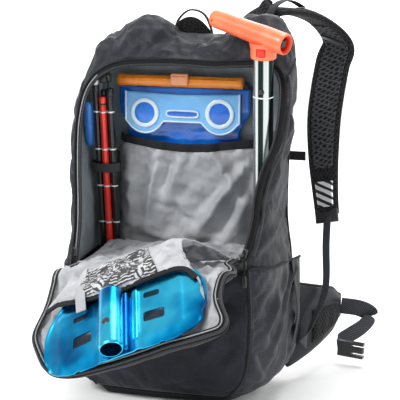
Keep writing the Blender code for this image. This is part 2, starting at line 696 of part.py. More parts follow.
# socket tube on the blade's centre line
turned("blade_socket", blade_frame(0, -44, blade_lift(-44) - 17.4), along, [(0, 15.0), (4, 16.4), (98, 16.4), (100, 15.6)], "blade_alloy", sides=18,
       oval=0.9, flat=abreast, origin=CREASE_C, parent=flap_crease, bore=[(0, 14.2), (100, 14.2)])


# pocket over the blade's cutting edge
def pocket_at(off):
    def at(u, v):
        b = 2 * u - 1
        l = lerp(-153, -58 + 5 * math.cos(math.pi * b), v)
        half = lerp(86.0, 110.0, smooth01(v))
        n = blade_lift(l) - 4.6 + BLADE_DISH * (b * half / BW) ** 2 - off
        return blade_frame(b * half, l, n)
    return at


slab("blade_pocket", 8, 4, pocket_at(0.0), pocket_at(1.4), "lining_fabric", CREASE_C, flap_crease)


# ---- zip sliders at both ends of the fold line, and their hanging pulls ------------
for side, q0, dq in (("left", 0.0, 1), ("right", 1.0, -1)):
    a, b = rim(q0 + dq * 0.012), rim(q0 + dq * 0.06)
    run = (b - a).normalized()
    outwards = Vector((-run.y, run.x, 0)) * dq
    rx = K * run.x + UP * run.y
    ox = K * outwards.x + UP * outwards.y
    c = rim3(q0 + dq * 0.012) + ox * 4.2 + rx * 3.0 + NRM * 3.4
    face = Matrix((ox, rx, ox.cross(rx))).transposed().to_quaternion()
    block("zip_slider_" + side, (7.0, 12.0, 3.6), c, "zip_metal", turn=face, bevel=0.8, origin=c)
    top = c + NRM * 4.6 + Vector((0, 0, 3))
    drop = through([top, top + Vector((-1.5 * dq, -6.5, -16)), top + Vector((-2.0 * dq, -9.5, -34)), top + Vector((-5.0 * dq, -11.0, -52))])
    band("zip_pull_" + side, drop, lambda u: Vector((1, 0, 0)), 4.6, 2.4, "black_webbing", nu=6, origin=top)


# ---- harness: right side given, left side mirrored -----------------------------------
def mx(points, side):
    return [Vector((p[0] * side, p[1], p[2])) for p in points]


STRAP_R = ((72, 102, 488), (84, 104, 530), (108, 111, 558), (123, 115, 566), (153, 160, 560), (178, 196, 541), (196, 218, 510),
           (186, 228, 480), (176, 240, 435), (169, 248, 385), (170, 245, 325), (176, 235, 274), (184, 221, 228))
SIDES_R = ((1, 0, 0), (1, 0, 0), (0.93, -0.36, 0), (0.83, -0.55, 0), (0.8, -0.6, 0), (0.83, -0.55, 0), (0.95, -0.3, 0),
           (1, 0, 0), (1, 0, 0), (1, 0, 0), (1, 0, 0), (1, 0, 0.1), (0.95, 0, 0.3))
STRAP_L = ((-70, 102, 470), (-76, 106, 496), (-95, 125, 512), (-125, 165, 508), (-148, 195, 485), (-155, 215, 450), (-150, 228, 400),
           (-148, 228, 340), (-152, 218, 280), (-158, 205, 228))
SIDES_L = ((1, 0, 0), (1, 0.1, 0), (0.85, 0.5, 0), (0.85, 0.5, 0), (0.95, 0.3, 0), (1, 0, 0), (1, 0, 0), (1, 0, 0), (1, 0, 0), (0.95, 0, -0.3))
for side, pts, dirs in (("right", STRAP_R, SIDES_R), ("left", STRAP_L, SIDES_L)):
    path, across_strap = through(pts, dirs)
    band("shoulder_strap_" + side, path, across_strap, lambda u: lerp(52, 54, u) - 16 * smooth01((u - 0.72) / 0.28), 12.0,
         "mesh_pad", nu=22, nv=2, crown=0.45)

for side, sx, end in (("right", 1, (184, 221, 228)), ("left", -1, (-158, 205, 228))):
    e = Vector(end)
    pts = [Vector((175 * sx, 98, 52)), Vector((187 * sx, 120, 89)), Vector((195 * sx, 150, 118)), Vector((195 * sx, 168, 145)),
           lerp(Vector((195 * sx, 168, 145)), e, 0.55) + Vector((-2 * sx, 2, 0)), e + Vector((0, -2.0, -7.0))]
    path, flat = through(pts, [(0.1 * sx, -0.3, 1), (0.7 * sx, -0.5, 0.5), (0.9 * sx, -0.4, 0.15), (0.9 * sx, -0.4, 0.1), (0.95 * sx, -0.3, 0), (0.98 * sx, -0.2, 0)])
    band("strap_webbing_" + side, path, flat, lambda u: 40 - 27 * smooth01(u / 0.2), 1.6, "grey_webbing", nu=14)

lift_r = through([(119, 76, 559), (123, 94, 574), (132, 118, 582), (142, 138, 579), (151, 157, 570.5)])
band("load_lifter_right", lift_r, lambda u: Vector((0.85, -0.5, 0)), 14.0, 1.6, "black_webbing", nu=10)
lift_l = through([(-132, 95.5, 512), (-132, 108, 525), (-130, 135, 529), (-126, 163, 517)])
band("load_lifter_left", lift_l, lambda u: Vector((0.85, 0.5, 0)), 14.0, 1.6, "black_webbing", nu=10)

band("sternum_webbing_right", through([(24, 241, 326), (60, 243, 326), (100, 244, 326), (141, 243, 326)]), lambda u: Vector((0, 0, 1)), 15, 1.6, "black_webbing", nu=5)
band("sternum_webbing_left", through([(-24, 241, 326), (-60, 238, 326), (-95, 233, 326), (-120, 229, 326)]), lambda u: Vector((0, 0, 1)), 15, 1.6, "black_webbing", nu=5)
block("sternum_buckle", (46, 8, 24), (0, 241, 326), "black_plastic", bevel=2.4, segments=2)

FIN_ROOT, FIN_TIP = Vector((150, 97.5, 0)), Vector((203, 232, 0))
FIN_OUT = Vector((FIN_TIP.y - FIN_ROOT.y, -(FIN_TIP.x - FIN_ROOT.x), 0)).normalized()


def fin_at(sx, off, u0=0.0, u1=1.0, v0=0.0, v1=1.0, crown=0.0):
    def at(u, v):
        edge = (1 - abs(2 * u - 1) ** 6) * (1 - abs(2 * v - 1) ** 4)
        a, b = lerp(u0, u1, u), lerp(v0, v1, v)
        p = lerp(FIN_ROOT, FIN_TIP, a) + FIN_OUT * 5.0 * math.sin(math.pi * a)
        z0, z1 = lerp(18, 60, a ** 1.2), lerp(150, 112, a)
        pinch = 1 - 0.35 * smooth01((a - 0.8) / 0.2)
        z = (z0 + z1) / 2 + (z1 - z0) * (b - 0.5) * pinch
        side = 1 if off > 0 else -1
        p = p + FIN_OUT * (off - side * (1 - crown) * 0 + side * crown * edge)
        return Vector((p.x * sx, p.y, z))
    return at


HINGE_FIN = Vector((152, 97, 84))
for side, sx in (("right", 1), ("left", -1)):
    origin = Vector((HINGE_FIN.x * sx, HINGE_FIN.y, HINGE_FIN.z))
    slab("hip_fin_" + side, 8, 5, fin_at(sx, 3.4, crown=2.6), fin_at(sx, -3.4, crown=2.6), "mesh_pad", origin=origin)
    slab("hip_pocket_" + side, 5, 4, fin_at(sx, 6.6, 0.36, 0.9, 0.14, 0.62), fin_at(sx, 7.6, 0.36, 0.9, 0.14, 0.62, crown=4.0), "shell_fabric", origin=origin)
    web = through(mx(((206, 235, 84), (236, 241, 80), (253, 248, 68), (243, 236, 52), (224, 217, 40), (212, 203, 33), (211, 191, 28)), sx))
    band("belt_webbing_" + side, web, lambda u: Vector((0, 0, 1)), 27.0, 1.6, "grey_webbing", nu=16, origin=origin)

bm_dir = Vector((0.985, -0.11, -0.06)).normalized()
BUCKLE_C = Vector((234, 184, 27))
yaw = Matrix((bm_dir, Vector((0, 0, 1)).cross(bm_dir).normalized(), bm_dir.cross(Vector((0, 0, 1)).cross(bm_dir)).normalized())).transposed().to_quaternion()
male = block("belt_buckle_male", (42, 9, 25), BUCKLE_C, "black_plastic", turn=yaw, bevel=0, origin=Vector((212, 188, 28)))
for i, z in enumerate((-6.2, 6.2)):
    cut = cutter("prong_gap_%d" % i, (24, 14, 4.2), BUCKLE_C - Vector((212, 188, 28)) + yaw @ Vector((14, 0, z)), yaw)
    cut.parent = male
    boolean(male, cut)
female_turn = Quaternion((0, 0, 1), math.radians(174))
female = block("belt_buckle_female", (34, 12, 27), (-232, 185, 27), "black_plastic", turn=female_turn, bevel=0, origin=Vector((-212, 188, 28)))
mouth = cutter("female_mouth", (30, 7.4, 21), Vector((-20, -3, -1)) + female_turn @ Vector((7, 0, 0)), female_turn)
mouth.parent = female
boolean(female, mouth)

# ---- outer wings over the lower side walls ---------------------------------------------
def wing_at(right, thick_off):
    def at(u, v):
        top = lerp(28.2, 28.62, smooth01((1 - v) / 0.55)) - 0.3 * smooth01((0.25 - v) / 0.25)
        s = lerp(top, 31.72, u)
        if not right:
            s = N_ST - s
        flare = 9.5 * smooth01((0.22 - v) / 0.22)
        return shell_point(s, v) + shell_normal(s, v) * (3.4 + flare - thick_off)
    return at


for side, right in (("right", True), ("left", False)):
    slab("side_wing_" + side, 8, 7, wing_at(right, 0.0), wing_at(right, 2.2), "shell_fabric")
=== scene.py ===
"""Looks for a ski touring backpack with its front flap open: shovel, probe and drinking bladder in place. Lengths are in millimetres until a mesh is built."""
import json
import math

import bmesh
import bpy
import numpy as np
from mathutils import Matrix, Vector

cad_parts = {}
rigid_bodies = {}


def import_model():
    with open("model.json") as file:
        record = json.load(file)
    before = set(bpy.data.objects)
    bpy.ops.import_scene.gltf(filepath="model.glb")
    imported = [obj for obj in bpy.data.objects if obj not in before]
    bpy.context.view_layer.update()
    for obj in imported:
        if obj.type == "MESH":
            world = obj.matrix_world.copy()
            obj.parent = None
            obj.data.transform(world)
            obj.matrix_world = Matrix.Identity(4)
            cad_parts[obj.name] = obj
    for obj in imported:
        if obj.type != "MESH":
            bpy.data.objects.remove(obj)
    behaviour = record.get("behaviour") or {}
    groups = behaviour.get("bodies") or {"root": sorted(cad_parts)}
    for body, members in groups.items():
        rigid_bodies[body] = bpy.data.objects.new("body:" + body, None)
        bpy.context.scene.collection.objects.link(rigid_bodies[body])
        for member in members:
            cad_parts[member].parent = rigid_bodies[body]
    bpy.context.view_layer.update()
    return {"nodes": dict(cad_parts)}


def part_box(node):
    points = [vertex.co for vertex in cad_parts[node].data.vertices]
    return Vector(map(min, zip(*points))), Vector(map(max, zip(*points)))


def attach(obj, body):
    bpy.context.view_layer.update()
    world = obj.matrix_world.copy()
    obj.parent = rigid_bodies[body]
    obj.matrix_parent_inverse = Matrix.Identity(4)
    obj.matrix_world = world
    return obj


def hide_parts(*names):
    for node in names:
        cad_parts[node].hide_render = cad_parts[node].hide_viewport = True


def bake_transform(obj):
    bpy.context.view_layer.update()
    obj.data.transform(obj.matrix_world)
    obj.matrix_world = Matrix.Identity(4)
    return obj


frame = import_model()
MM = 0.001

# ------------------------------------------------------------------ camera
TARGET = Vector((-0.004, 0.0, 0.28))
AZ, EL = math.radians(18), math.radians(11)
look = Vector((math.sin(AZ) * math.cos(EL), -math.cos(AZ) * math.cos(EL), math.sin(EL)))
cam_data = bpy.data.cameras.new("camera")
cam_data.lens, cam_data.sensor_width = 132.0, 36.0
cam_data.shift_x, cam_data.shift_y = 0.065, 0.015
cam = bpy.data.objects.new("camera", cam_data)
bpy.context.scene.collection.objects.link(cam)
cam.location = TARGET + look * 2.2
cam.rotation_euler = (-look).to_track_quat("-Z", "Y").to_euler()
bpy.context.scene.camera = cam


# ------------------------------------------------------------------ numbers
def V(*a):
    return np.array(a, float)


def unit(a):
    return a / np.maximum(np.linalg.norm(a, axis=-1, keepdims=True), 1e-9)


def lerp(a, b, t):
    return a + (b - a) * t


def sm(t):
    t = np.clip(t, 0, 1)
    return t * t * (3 - 2 * t)


def spl(points, t):
    """Catmull-Rom through points at t, counted in points."""
    pts = np.asarray(points, float)
    n = len(pts) - 1
    t = np.clip(np.asarray(t, float), 0, n)
    i = np.minimum(t.astype(int), n - 1)
    f = (t - i)[..., None]
    P = np.vstack([2 * pts[0] - pts[1], pts, 2 * pts[-1] - pts[-2]])
    a, b, c, d = P[i], P[i + 1], P[i + 2], P[i + 3]
    return 0.5 * (2 * b + (c - a) * f + (2 * a - 5 * b + 4 * c - d) * f * f + (3 * b - a - 3 * c + d) * f ** 3)


def folds(P, seed, wave=60.0, amp=1.0, octaves=3, stretch=(1, 1, 1)):
    """Soft cloth-like relief at points P: warped sines of seeded directions."""
    rng = np.random.RandomState(seed)
    Q = P * np.array(stretch, float)
    out = np.zeros(P.shape[:-1])
    for o in range(octaves):
        k = 2 * math.pi / (wave / 1.9 ** o)
        for _ in range(3):
            d = unit(rng.normal(size=3))
            e = unit(rng.normal(size=3))
            ph = rng.uniform(0, 7, 2)
            out += np.sin(Q @ d * k + ph[0] + 1.4 * np.sin(Q @ e * k * 0.6 + ph[1])) / (1.8 ** o)
    return out * amp / 3.0


def crease_lines(P, lines, width=5.0):
    """Sharp drawn folds: each line is (start, end, height); a ridge with a soft hollow beside it."""
    out = np.zeros(P.shape[:-1])
    for a, b, h in lines:
        a, b = V(*a), V(*b)
        d = b - a
        L = np.linalg.norm(d)
        t = np.clip(((P - a) @ d) / (L * L), 0, 1)
        q = np.linalg.norm(P - (a + t[..., None] * d), axis=-1)
        fade = np.sin(math.pi * np.clip(t, 0.02, 0.98)) ** 0.6
        w = width * (0.8 + 0.7 * t)
        out += h * fade * (np.exp(-(q / w) ** 2) - 0.45 * np.exp(-((q - 2.2 * w) / (1.3 * w)) ** 2))
    return out


# ------------------------------------------------------------------ the pack's shape, as in the CAD
BACK_Y, BACK_T, WALL, TAPE_W = 86.0, 7.0, 2.4, 10.0
MID = V(-3.5, -92, 213)
_t = math.radians(5.73)
K = V(math.cos(_t), 0, math.sin(_t))
_l = math.radians(16.6)
UP = V(0, math.sin(_l), math.cos(_l))
UP = unit(UP - K * (UP @ K))
NRM = np.cross(K, UP)
OPEN, CREASE_AT, SLANT, BEND, TRAY = math.radians(101.3), 132.0, math.radians(17.2), math.radians(44.4), 28.0
BLADE_S, BLADE_W, BLADE_TURN, BLADE_TILT = 20.0, 240.0, math.radians(-9.5), -0.004
SHAFT_FOOT, SHAFT_TOP = V(130, 22, 66), V(141.5, -38.5, 524)
GRIP_AXIS = unit(V(0.885, -0.401, -0.232))


def in_plane(s, w, n=0.0):
    s, w, n = np.broadcast_arrays(np.asarray(s, float), w, n)
    return MID + s[..., None] * K + w[..., None] * UP + n[..., None] * NRM


RIM = np.array([(-121, 3), (-116, 50), (-115, 94), (-116, 138), (-116, 182), (-114, 216), (-106, 253), (-91, 276),
                (-70, 288), (-45, 293), (-10, 292), (22, 290), (56, 286), (92, 281), (122, 280), (152, 278),
                (177, 273), (189, 252), (188, 212), (179, 165), (162, 128), (151, 90), (146, 54), (138, 23), (130, 2)], float)
RIM_N = len(RIM) - 1


def rim(q, outward=0.0):
    q = np.asarray(q, float)
    p = spl(RIM, q * RIM_N)
    t = unit(spl(RIM, np.minimum(1, q + 2e-3) * RIM_N) - spl(RIM, np.maximum(0, q - 2e-3) * RIM_N))
    return p + np.stack([-t[..., 1], t[..., 0]], -1) * np.asarray(outward, float)[..., None]


def rim3(q, outward=0.0, n=0.0):
    p = rim(q, outward)
    return in_plane(p[..., 0], p[..., 1], n)


SEAM_L = np.array([(-100, -72, 14), (-128, -88, 54), (-137, -95, 110), (-138, -97, 160)], float)
SEAM_R = SEAM_L * V(-1, 1, 1) + V(2, 0, 0)
BACK_CTRL = (
    ((-120, 12), (-150, -35, 10)), ((-148, 50), (-172, -50, 48)), ((-156, 110), (-172, -58, 110)), ((-157, 165), (-170, -58, 165)),
    ((-156, 215), (-165, -56, 213)), ((-153, 260), (-166, -42, 258)), ((-152, 300), (-172, -32, 300)), ((-152, 345), (-177, -20, 345)),
    ((-152, 390), (-181, -8, 392)), ((-151, 430), (-177, 0, 430)), ((-147, 470), (-156, 8, 472)), ((-135, 505), (-136, 20, 540)),
    ((-105, 530), (-108, 40, 566)), ((-70, 540), (-66, 50, 594)), ((-40, 536), (-40, 50, 580)), ((-12, 530), (-14, 45, 546)),
    ((20, 528), (20, 45, 541)), ((55, 531), (55, 45, 548)), ((88, 540), (88, 45, 580)), ((120, 545), (126, 40, 598)),
    ((150, 532), (166, 30, 562)), ((157, 498), (178, 15, 505)), ((154, 450), (181, 5, 452)), ((152, 405), (181, -5, 405)),
    ((150, 355), (176, -20, 355)), ((149, 310), (171, -32, 312)), ((149, 266), (166, -42, 270)), ((152, 236), (163, -50, 240)),
    ((156, 208), (166, -56, 215)), ((158, 165), (170, -58, 165)), ((157, 110), (172, -58, 110)), ((149, 50), (172, -50, 48)), ((121, 12), (151, -35, 10)))
N_ST = len(BACK_CTRL) - 1
B_PTS = np.array([(b[0], BACK_Y, b[1]) for b, c in BACK_CTRL], float)
C_PTS = np.array([c for b, c in BACK_CTRL], float)
_ctrl = np.vstack([SEAM_L, rim3(np.arange(0, 25) / 24.0, TAPE_W), SEAM_R[::-1]])
EDGE = spl(_ctrl, np.arange(N_ST + 1))


def shell_point(s, t):
    s, t = np.broadcast_arrays(np.asarray(s, float), np.asarray(t, float))
    b, c, r = spl(B_PTS, s), spl(C_PTS, s), spl(EDGE, s)
    t = t[..., None]
    return b * (1 - t) ** 2 + c * 2 * t * (1 - t) + r * t * t


def shell_normal(s, t):
    s, t = np.broadcast_arrays(np.asarray(s, float), np.asarray(t, float))
    e = 0.02
    n = unit(np.cross(shell_point(s + e, t) - shell_point(s - e, t), shell_point(s, np.minimum(1, t + e)) - shell_point(s, np.maximum(0, t - e))))
    flip = np.sum(n * (shell_point(s, t) - V(0, 0, 300)), -1) < 0
    n[flip] *= -1
    return n


def UVgrid(nu, nv, u0=0.0, u1=1.0, v0=0.0, v1=1.0):
    return np.meshgrid(np.linspace(u0, u1, nu + 1), np.linspace(v0, v1, nv + 1), indexing="ij")


# ------------------------------------------------------------------ materials
class Mat:
    def __init__(self, name, **inputs):
        self.m = bpy.data.materials.new(name)
        self.m.use_nodes = True
        self.nt = self.m.node_tree
        self.bsdf = self.nt.nodes["Principled BSDF"]
        self.coord = self.nt.nodes.new("ShaderNodeTexCoord")
        for k, v in inputs.items():
            self.bsdf.inputs[k.replace("_", " ")].default_value = v

    def new(self, kind, **props):
        n = self.nt.nodes.new(kind)
        for k, v in props.items():
            if k in n.inputs.keys():
                n.inputs[k].default_value = v
            else:
                setattr(n, k, v)
        return n

    def link(self, a, b):
        self.nt.links.new(a, b)

    def mapped(self, space="Object", scale=(1, 1, 1), rot=(0, 0, 0)):
        m = self.new("ShaderNodeMapping")
        m.inputs["Scale"].default_value = scale
        m.inputs["Rotation"].default_value = rot
        self.link(self.coord.outputs[space], m.inputs["Vector"])
        return m.outputs["Vector"]

    def noise(self, scale, detail=3.0, rough=0.5, space="Object", stretch=(1, 1, 1)):
        n = self.new("ShaderNodeTexNoise", Scale=scale, Detail=detail, Roughness=rough)
        self.link(self.mapped(space, stretch), n.inputs["Vector"])
        return n.outputs["Fac"]

    def wave(self, period, direction="X", space="UV", rot=0.0, distort=0.0):
        n = self.new("ShaderNodeTexWave", Scale=0.314159 / period, Distortion=distort)
        n.bands_direction = direction
        self.link(self.mapped(space, (1, 1, 1), (0, 0, rot)), n.inputs["Vector"])
        return n.outputs["Fac"]

    def math(self, op, a, b=0.5, clamp=False):
        n = self.new("ShaderNodeMath")
        n.operation, n.use_clamp = op, clamp
        for i, x in enumerate((a, b)):
            if isinstance(x, (int, float)):
                n.inputs[i].default_value = x
            else:
                self.link(x, n.inputs[i])
        return n.outputs[0]

    def ramp(self, fac, stops, sharp=False):
        n = self.new("ShaderNodeValToRGB")
        el = n.color_ramp.elements
        while len(el) < len(stops):
            el.new(0.5)
        for e, (p, c) in zip(el, stops):
            e.position, e.color = p, (*c, 1)
        if sharp:
            n.color_ramp.interpolation = "CONSTANT"
        self.link(fac, n.inputs["Fac"])
        return n.outputs["Color"]

    def mix(self, fac, a, b, kind="MIX"):
        n = self.new("ShaderNodeMix")
        n.data_type, n.blend_type = "RGBA", kind
        for sock, x in ((n.inputs[0], fac), (n.inputs[6], a), (n.inputs[7], b)):
            if isinstance(x, (int, float)):
                sock.default_value = x
            elif isinstance(x, tuple):
                sock.default_value = (*x, 1)
            else:
                self.link(x, sock)
        return n.outputs[2]

    def colour(self, out):
        self.link(out, self.bsdf.inputs["Base Color"])

    def rough(self, out, lo, hi):
        n = self.new("ShaderNodeMapRange")
        n.inputs["To Min"].default_value, n.inputs["To Max"].default_value = lo, hi
        self.link(out, n.inputs["Value"])
        self.link(n.outputs[0], self.bsdf.inputs["Roughness"])

    def bump(self, *heights):
        """(height, distance in metres, strength) stacked."""
        last = None
        for h, dist, strength in heights:
            b = self.new("ShaderNodeBump", Strength=strength, Distance=dist)
            self.link(h, b.inputs["Height"])
            if last is not None:
                self.link(last, b.inputs["Normal"])
            last = b.outputs["Normal"]
        self.link(last, self.bsdf.inputs["Normal"])


def ripstop(name, dark, light, sheen=0.35, rough=0.52):
    m = Mat(name, Sheen_Weight=sheen, Sheen_Roughness=0.4, Specular_IOR_Level=0.2)
    blot = m.noise(9, 4, 0.6)
    fine = m.noise(900, 2, 0.6)
    rib = m.wave(0.0031, "Y")
    grid = m.wave(0.0046, "X")
    base = m.ramp(blot, [(0.3, dark), (0.7, light)])
    ribs = m.ramp(m.math("ADD", m.math("MULTIPLY", rib, 0.65), m.math("MULTIPLY", grid, 0.35)), [(0.25, (0.62, 0.62, 0.64)), (0.8, (1.22, 1.22, 1.24))])
    m.colour(m.mix(0.75, base, ribs, "MULTIPLY"))
    m.rough(m.noise(60, 3), rough - 0.08, rough + 0.1)
    m.bump((m.noise(26, 5, 0.62), 0.001, 0.35), (rib, 0.00035, 0.5), (grid, 0.0003, 0.35), (fine, 0.0001, 0.3))
    return m.m


def lining(name, dark, light, rough=0.5):
    m = Mat(name, Sheen_Weight=0.25, Sheen_Roughness=0.35, Specular_IOR_Level=0.4)
    blot = m.noise(14, 5, 0.6)
    m.colour(m.mix(0.35, m.ramp(blot, [(0.3, dark), (0.68, light)]), m.ramp(m.wave(0.0022, "X"), [(0.2, (0.9, 0.9, 0.9)), (0.8, (1.04, 1.04, 1.04))]), "MULTIPLY"))
    m.rough(m.noise(40, 3), rough - 0.1, rough + 0.12)
    m.bump((m.noise(38, 6, 0.66, stretch=(1, 1, 0.55)), 0.0035, 0.55), (m.noise(130, 4, 0.6), 0.0009, 0.45), (m.wave(0.0022, "Y"), 0.00012, 0.3))
    return m.m


def webbing(name, dark, light, period=0.0028, rough=0.62):
    m = Mat(name, Sheen_Weight=0.03, Sheen_Roughness=0.5, Specular_IOR_Level=0.18)
    a = m.wave(period, "X", rot=0.7)
    b = m.wave(period, "X", rot=-0.7)
    t = m.math("MULTIPLY", a, b)
    m.colour(m.mix(0.5, m.ramp(t, [(0.0, dark), (0.7, light)]), m.ramp(m.noise(50, 4), [(0.3, (0.7, 0.7, 0.7)), (0.7, (1.1, 1.1, 1.1))]), "MULTIPLY"))
    m.rough(m.noise(200, 2), rough - 0.06, rough + 0.12)
    m.bump((t, 0.0006, 0.7), (m.noise(700, 2), 0.00015, 0.4))
    return m.m


def airmesh(name, dark, light, cell=0.0062):
    m = Mat(name, Roughness=0.8, Specular_IOR_Level=0.2, Sheen_Weight=0.03, Sheen_Roughness=0.55)
    v = m.new("ShaderNodeTexVoronoi", Scale=1 / cell, Randomness=0.35)
    v.feature = "DISTANCE_TO_EDGE"
    m.link(m.mapped("UV", (1, 0.62, 1), (0, 0, 0.785)), v.inputs["Vector"])
    d = v.outputs["Distance"]
    cells = m.ramp(d, [(0.04, light), (0.3, dark)])
    speck = m.ramp(m.noise(420, 3, 0.7), [(0.35, (0.45, 0.45, 0.45)), (0.7, (1.7, 1.7, 1.7))])
    m.colour(m.mix(0.8, cells, speck, "MULTIPLY"))
    m.bump((m.ramp(d, [(0.02, (1, 1, 1)), (0.28, (0, 0, 0))]), 0.0011, 0.8), (m.noise(600, 3), 0.0003, 0.5))
    return m.m


def plastic(name, dark, light, lo=0.3, hi=0.45, coat=0.0, grain=900, wear=0.25):
    m = Mat(name, Coat_Weight=coat, Coat_Roughness=0.15)
    m.colour(m.mix(wear, m.ramp(m.noise(30, 4), [(0.3, dark), (0.7, light)]), m.ramp(m.noise(5, 3), [(0.3, (0.8, 0.8, 0.8)), (0.7, (1.08, 1.08, 1.08))]), "MULTIPLY"))
    m.rough(m.noise(90, 3), lo, hi)
    m.bump((m.noise(grain, 3), 0.00012, 0.35), (m.noise(22, 3), 0.0006, 0.2))
    return m.m


M_SHELL = ripstop("shell_graphite_ripstop", (0.008, 0.009, 0.0135), (0.024, 0.0255, 0.034), sheen=0.06)
# A darker copy of the shell ripstop: painted shade, used where the shell lies in shadow (the base under the open flap,
# the fabric across the hinge, the side fold lines).
M_SHELL_PAINTED_SHADE = ripstop("shell_ripstop_painted_shade", (0.004, 0.0045, 0.006), (0.013, 0.0135, 0.017), sheen=0.04)
M_WING = ripstop("wing_ripstop", (0.009, 0.0098, 0.0145), (0.028, 0.0295, 0.039), sheen=0.06, rough=0.42)
M_LINING = lining("lining_grey", (0.26, 0.272, 0.29), (0.52, 0.535, 0.555))
M_LINING_COOL = lining("lining_cool_grey", (0.15, 0.185, 0.205), (0.32, 0.37, 0.4))
M_LINING_WHITE = lining("lining_pale", (0.27, 0.278, 0.295), (0.5, 0.51, 0.53))
M_BLACK_WEB = webbing("black_webbing", (0.003, 0.003, 0.004), (0.018, 0.018, 0.021))
M_GREY_WEB = webbing("grey_webbing", (0.02, 0.022, 0.026), (0.085, 0.09, 0.1))
M_LIGHT_WEB = webbing("light_webbing", (0.3, 0.31, 0.33), (0.55, 0.56, 0.58))
M_BINDING = webbing("dark_binding", (0.007, 0.008, 0.01), (0.03, 0.032, 0.037), period=0.0018)
M_MESH = airmesh("strap_air_mesh", (0.004, 0.004, 0.005), (0.06, 0.062, 0.068))
M_MESH_BLACK = airmesh("black_air_mesh", (0.002, 0.002, 0.0025), (0.018, 0.018, 0.02), cell=0.0048)
M_PLASTIC = plastic("black_moulded", (0.012, 0.012, 0.013), (0.03, 0.03, 0.032))
M_GRIP = plastic("grip_coral", (0.84, 0.13, 0.045), (0.95, 0.21, 0.085), 0.32, 0.42, coat=0.15)
M_GRIP_IN = plastic("grip_red_core", (0.75, 0.015, 0.01), (0.92, 0.04, 0.02), 0.35, 0.5)
M_ORANGE = plastic("closure_orange", (0.95, 0.24, 0.006), (1.0, 0.33, 0.015), 0.2, 0.32, coat=0.3)
M_PEACH = plastic("clip_peach", (0.95, 0.36, 0.16), (1.0, 0.47, 0.25), 0.25, 0.35, coat=0.2)
M_BLUE = plastic("tip_blue", (0.01, 0.11, 0.42), (0.03, 0.24, 0.7), 0.22, 0.35, coat=0.3)
M_ZIPMETAL = plastic("slider_black", (0.02, 0.02, 0.022), (0.09, 0.09, 0.095), 0.25, 0.4, coat=0.2)
M_FRAME = plastic("frame_sheet_grey", (0.06, 0.06, 0.062), (0.12, 0.12, 0.125), 0.45, 0.6)
M_WHITE = plastic("pale_marking", (0.75, 0.76, 0.78), (0.9, 0.9, 0.9), 0.4, 0.5)


def zip_coil(name):
    m = Mat(name, Roughness=0.4, Specular_IOR_Level=0.35)
    t = m.wave(0.0021, "Y")
    m.colour(m.ramp(t, [(0.2, (0.003, 0.003, 0.004)), (0.8, (0.045, 0.046, 0.05))]))
    m.bump((t, 0.0008, 0.9))
    return m.m


M_COIL = zip_coil("zip_coil")


def alloy(name, stops, lo, hi, stretch=(1, 1, 0.06), metal=1.0, scale=220):
    m = Mat(name, Metallic=metal, Anisotropic=0.35)
    m.colour(m.ramp(m.noise(9, 3, 0.5), stops))
    brushed = m.noise(scale, 3, 0.6, "UV", (1, 0.04, 1))
    m.rough(m.mix(0.4, m.noise(14, 3), brushed), lo, hi)
    m.bump((brushed, 0.00008, 0.3), (m.noise(12, 2), 0.0008, 0.12))
    return m.m


M_BLADE = alloy("blade_blue_anodised", [(0.36, (0.0, 0.07, 0.26)), (0.47, (0.003, 0.33, 0.68)), (0.58, (0.05, 0.6, 0.92))], 0.17, 0.3, metal=1.0)
M_BLADE_DEEP = alloy("blade_blue_deep", [(0.3, (0.0, 0.07, 0.24)), (0.7, (0.0, 0.2, 0.48))], 0.25, 0.4, metal=0.85)


def shaft_mat():
    m = Mat("shaft_anodised_painted_reflections", Metallic=0.95, Anisotropic=0.4)
    sep = m.new("ShaderNodeSeparateXYZ")
    m.link(m.coord.outputs["UV"], sep.inputs[0])
    around = sep.outputs["X"]
    # The base colour is painted reflection: dark and pale bands fixed around the tube stand in for the surroundings
    # mirrored in the polished shaft; only the noise tone multiplied on top is the metal's own.
    reflection_dark, reflection_light = (0.012, 0.022, 0.019), (0.55, 0.58, 0.58)
    band = m.ramp(around, [(0.0, reflection_dark), (0.045, reflection_dark), (0.06, reflection_light), (0.19, reflection_light), (0.205, reflection_dark), (0.28, reflection_dark), (0.292, reflection_light), (0.365, reflection_light), (0.378, reflection_dark), (0.545, reflection_dark), (0.56, reflection_light), (0.69, reflection_light),
                           (0.703, reflection_dark), (0.78, reflection_dark), (0.792, reflection_light), (0.866, reflection_light), (0.88, reflection_dark), (1.0, reflection_dark)])
    m.colour(m.mix(0.5, band, m.ramp(m.noise(6, 4), [(0.3, (0.75, 0.8, 0.79)), (0.7, (1.05, 1.05, 1.05))]), "MULTIPLY"))
    m.rough(m.noise(200, 3, 0.6, "UV", (1, 0.03, 1)), 0.16, 0.3)
    m.bump((m.noise(260, 3, 0.6, "UV", (1, 0.03, 1)), 0.00006, 0.3))
    return m.m


M_SHAFT = shaft_mat()


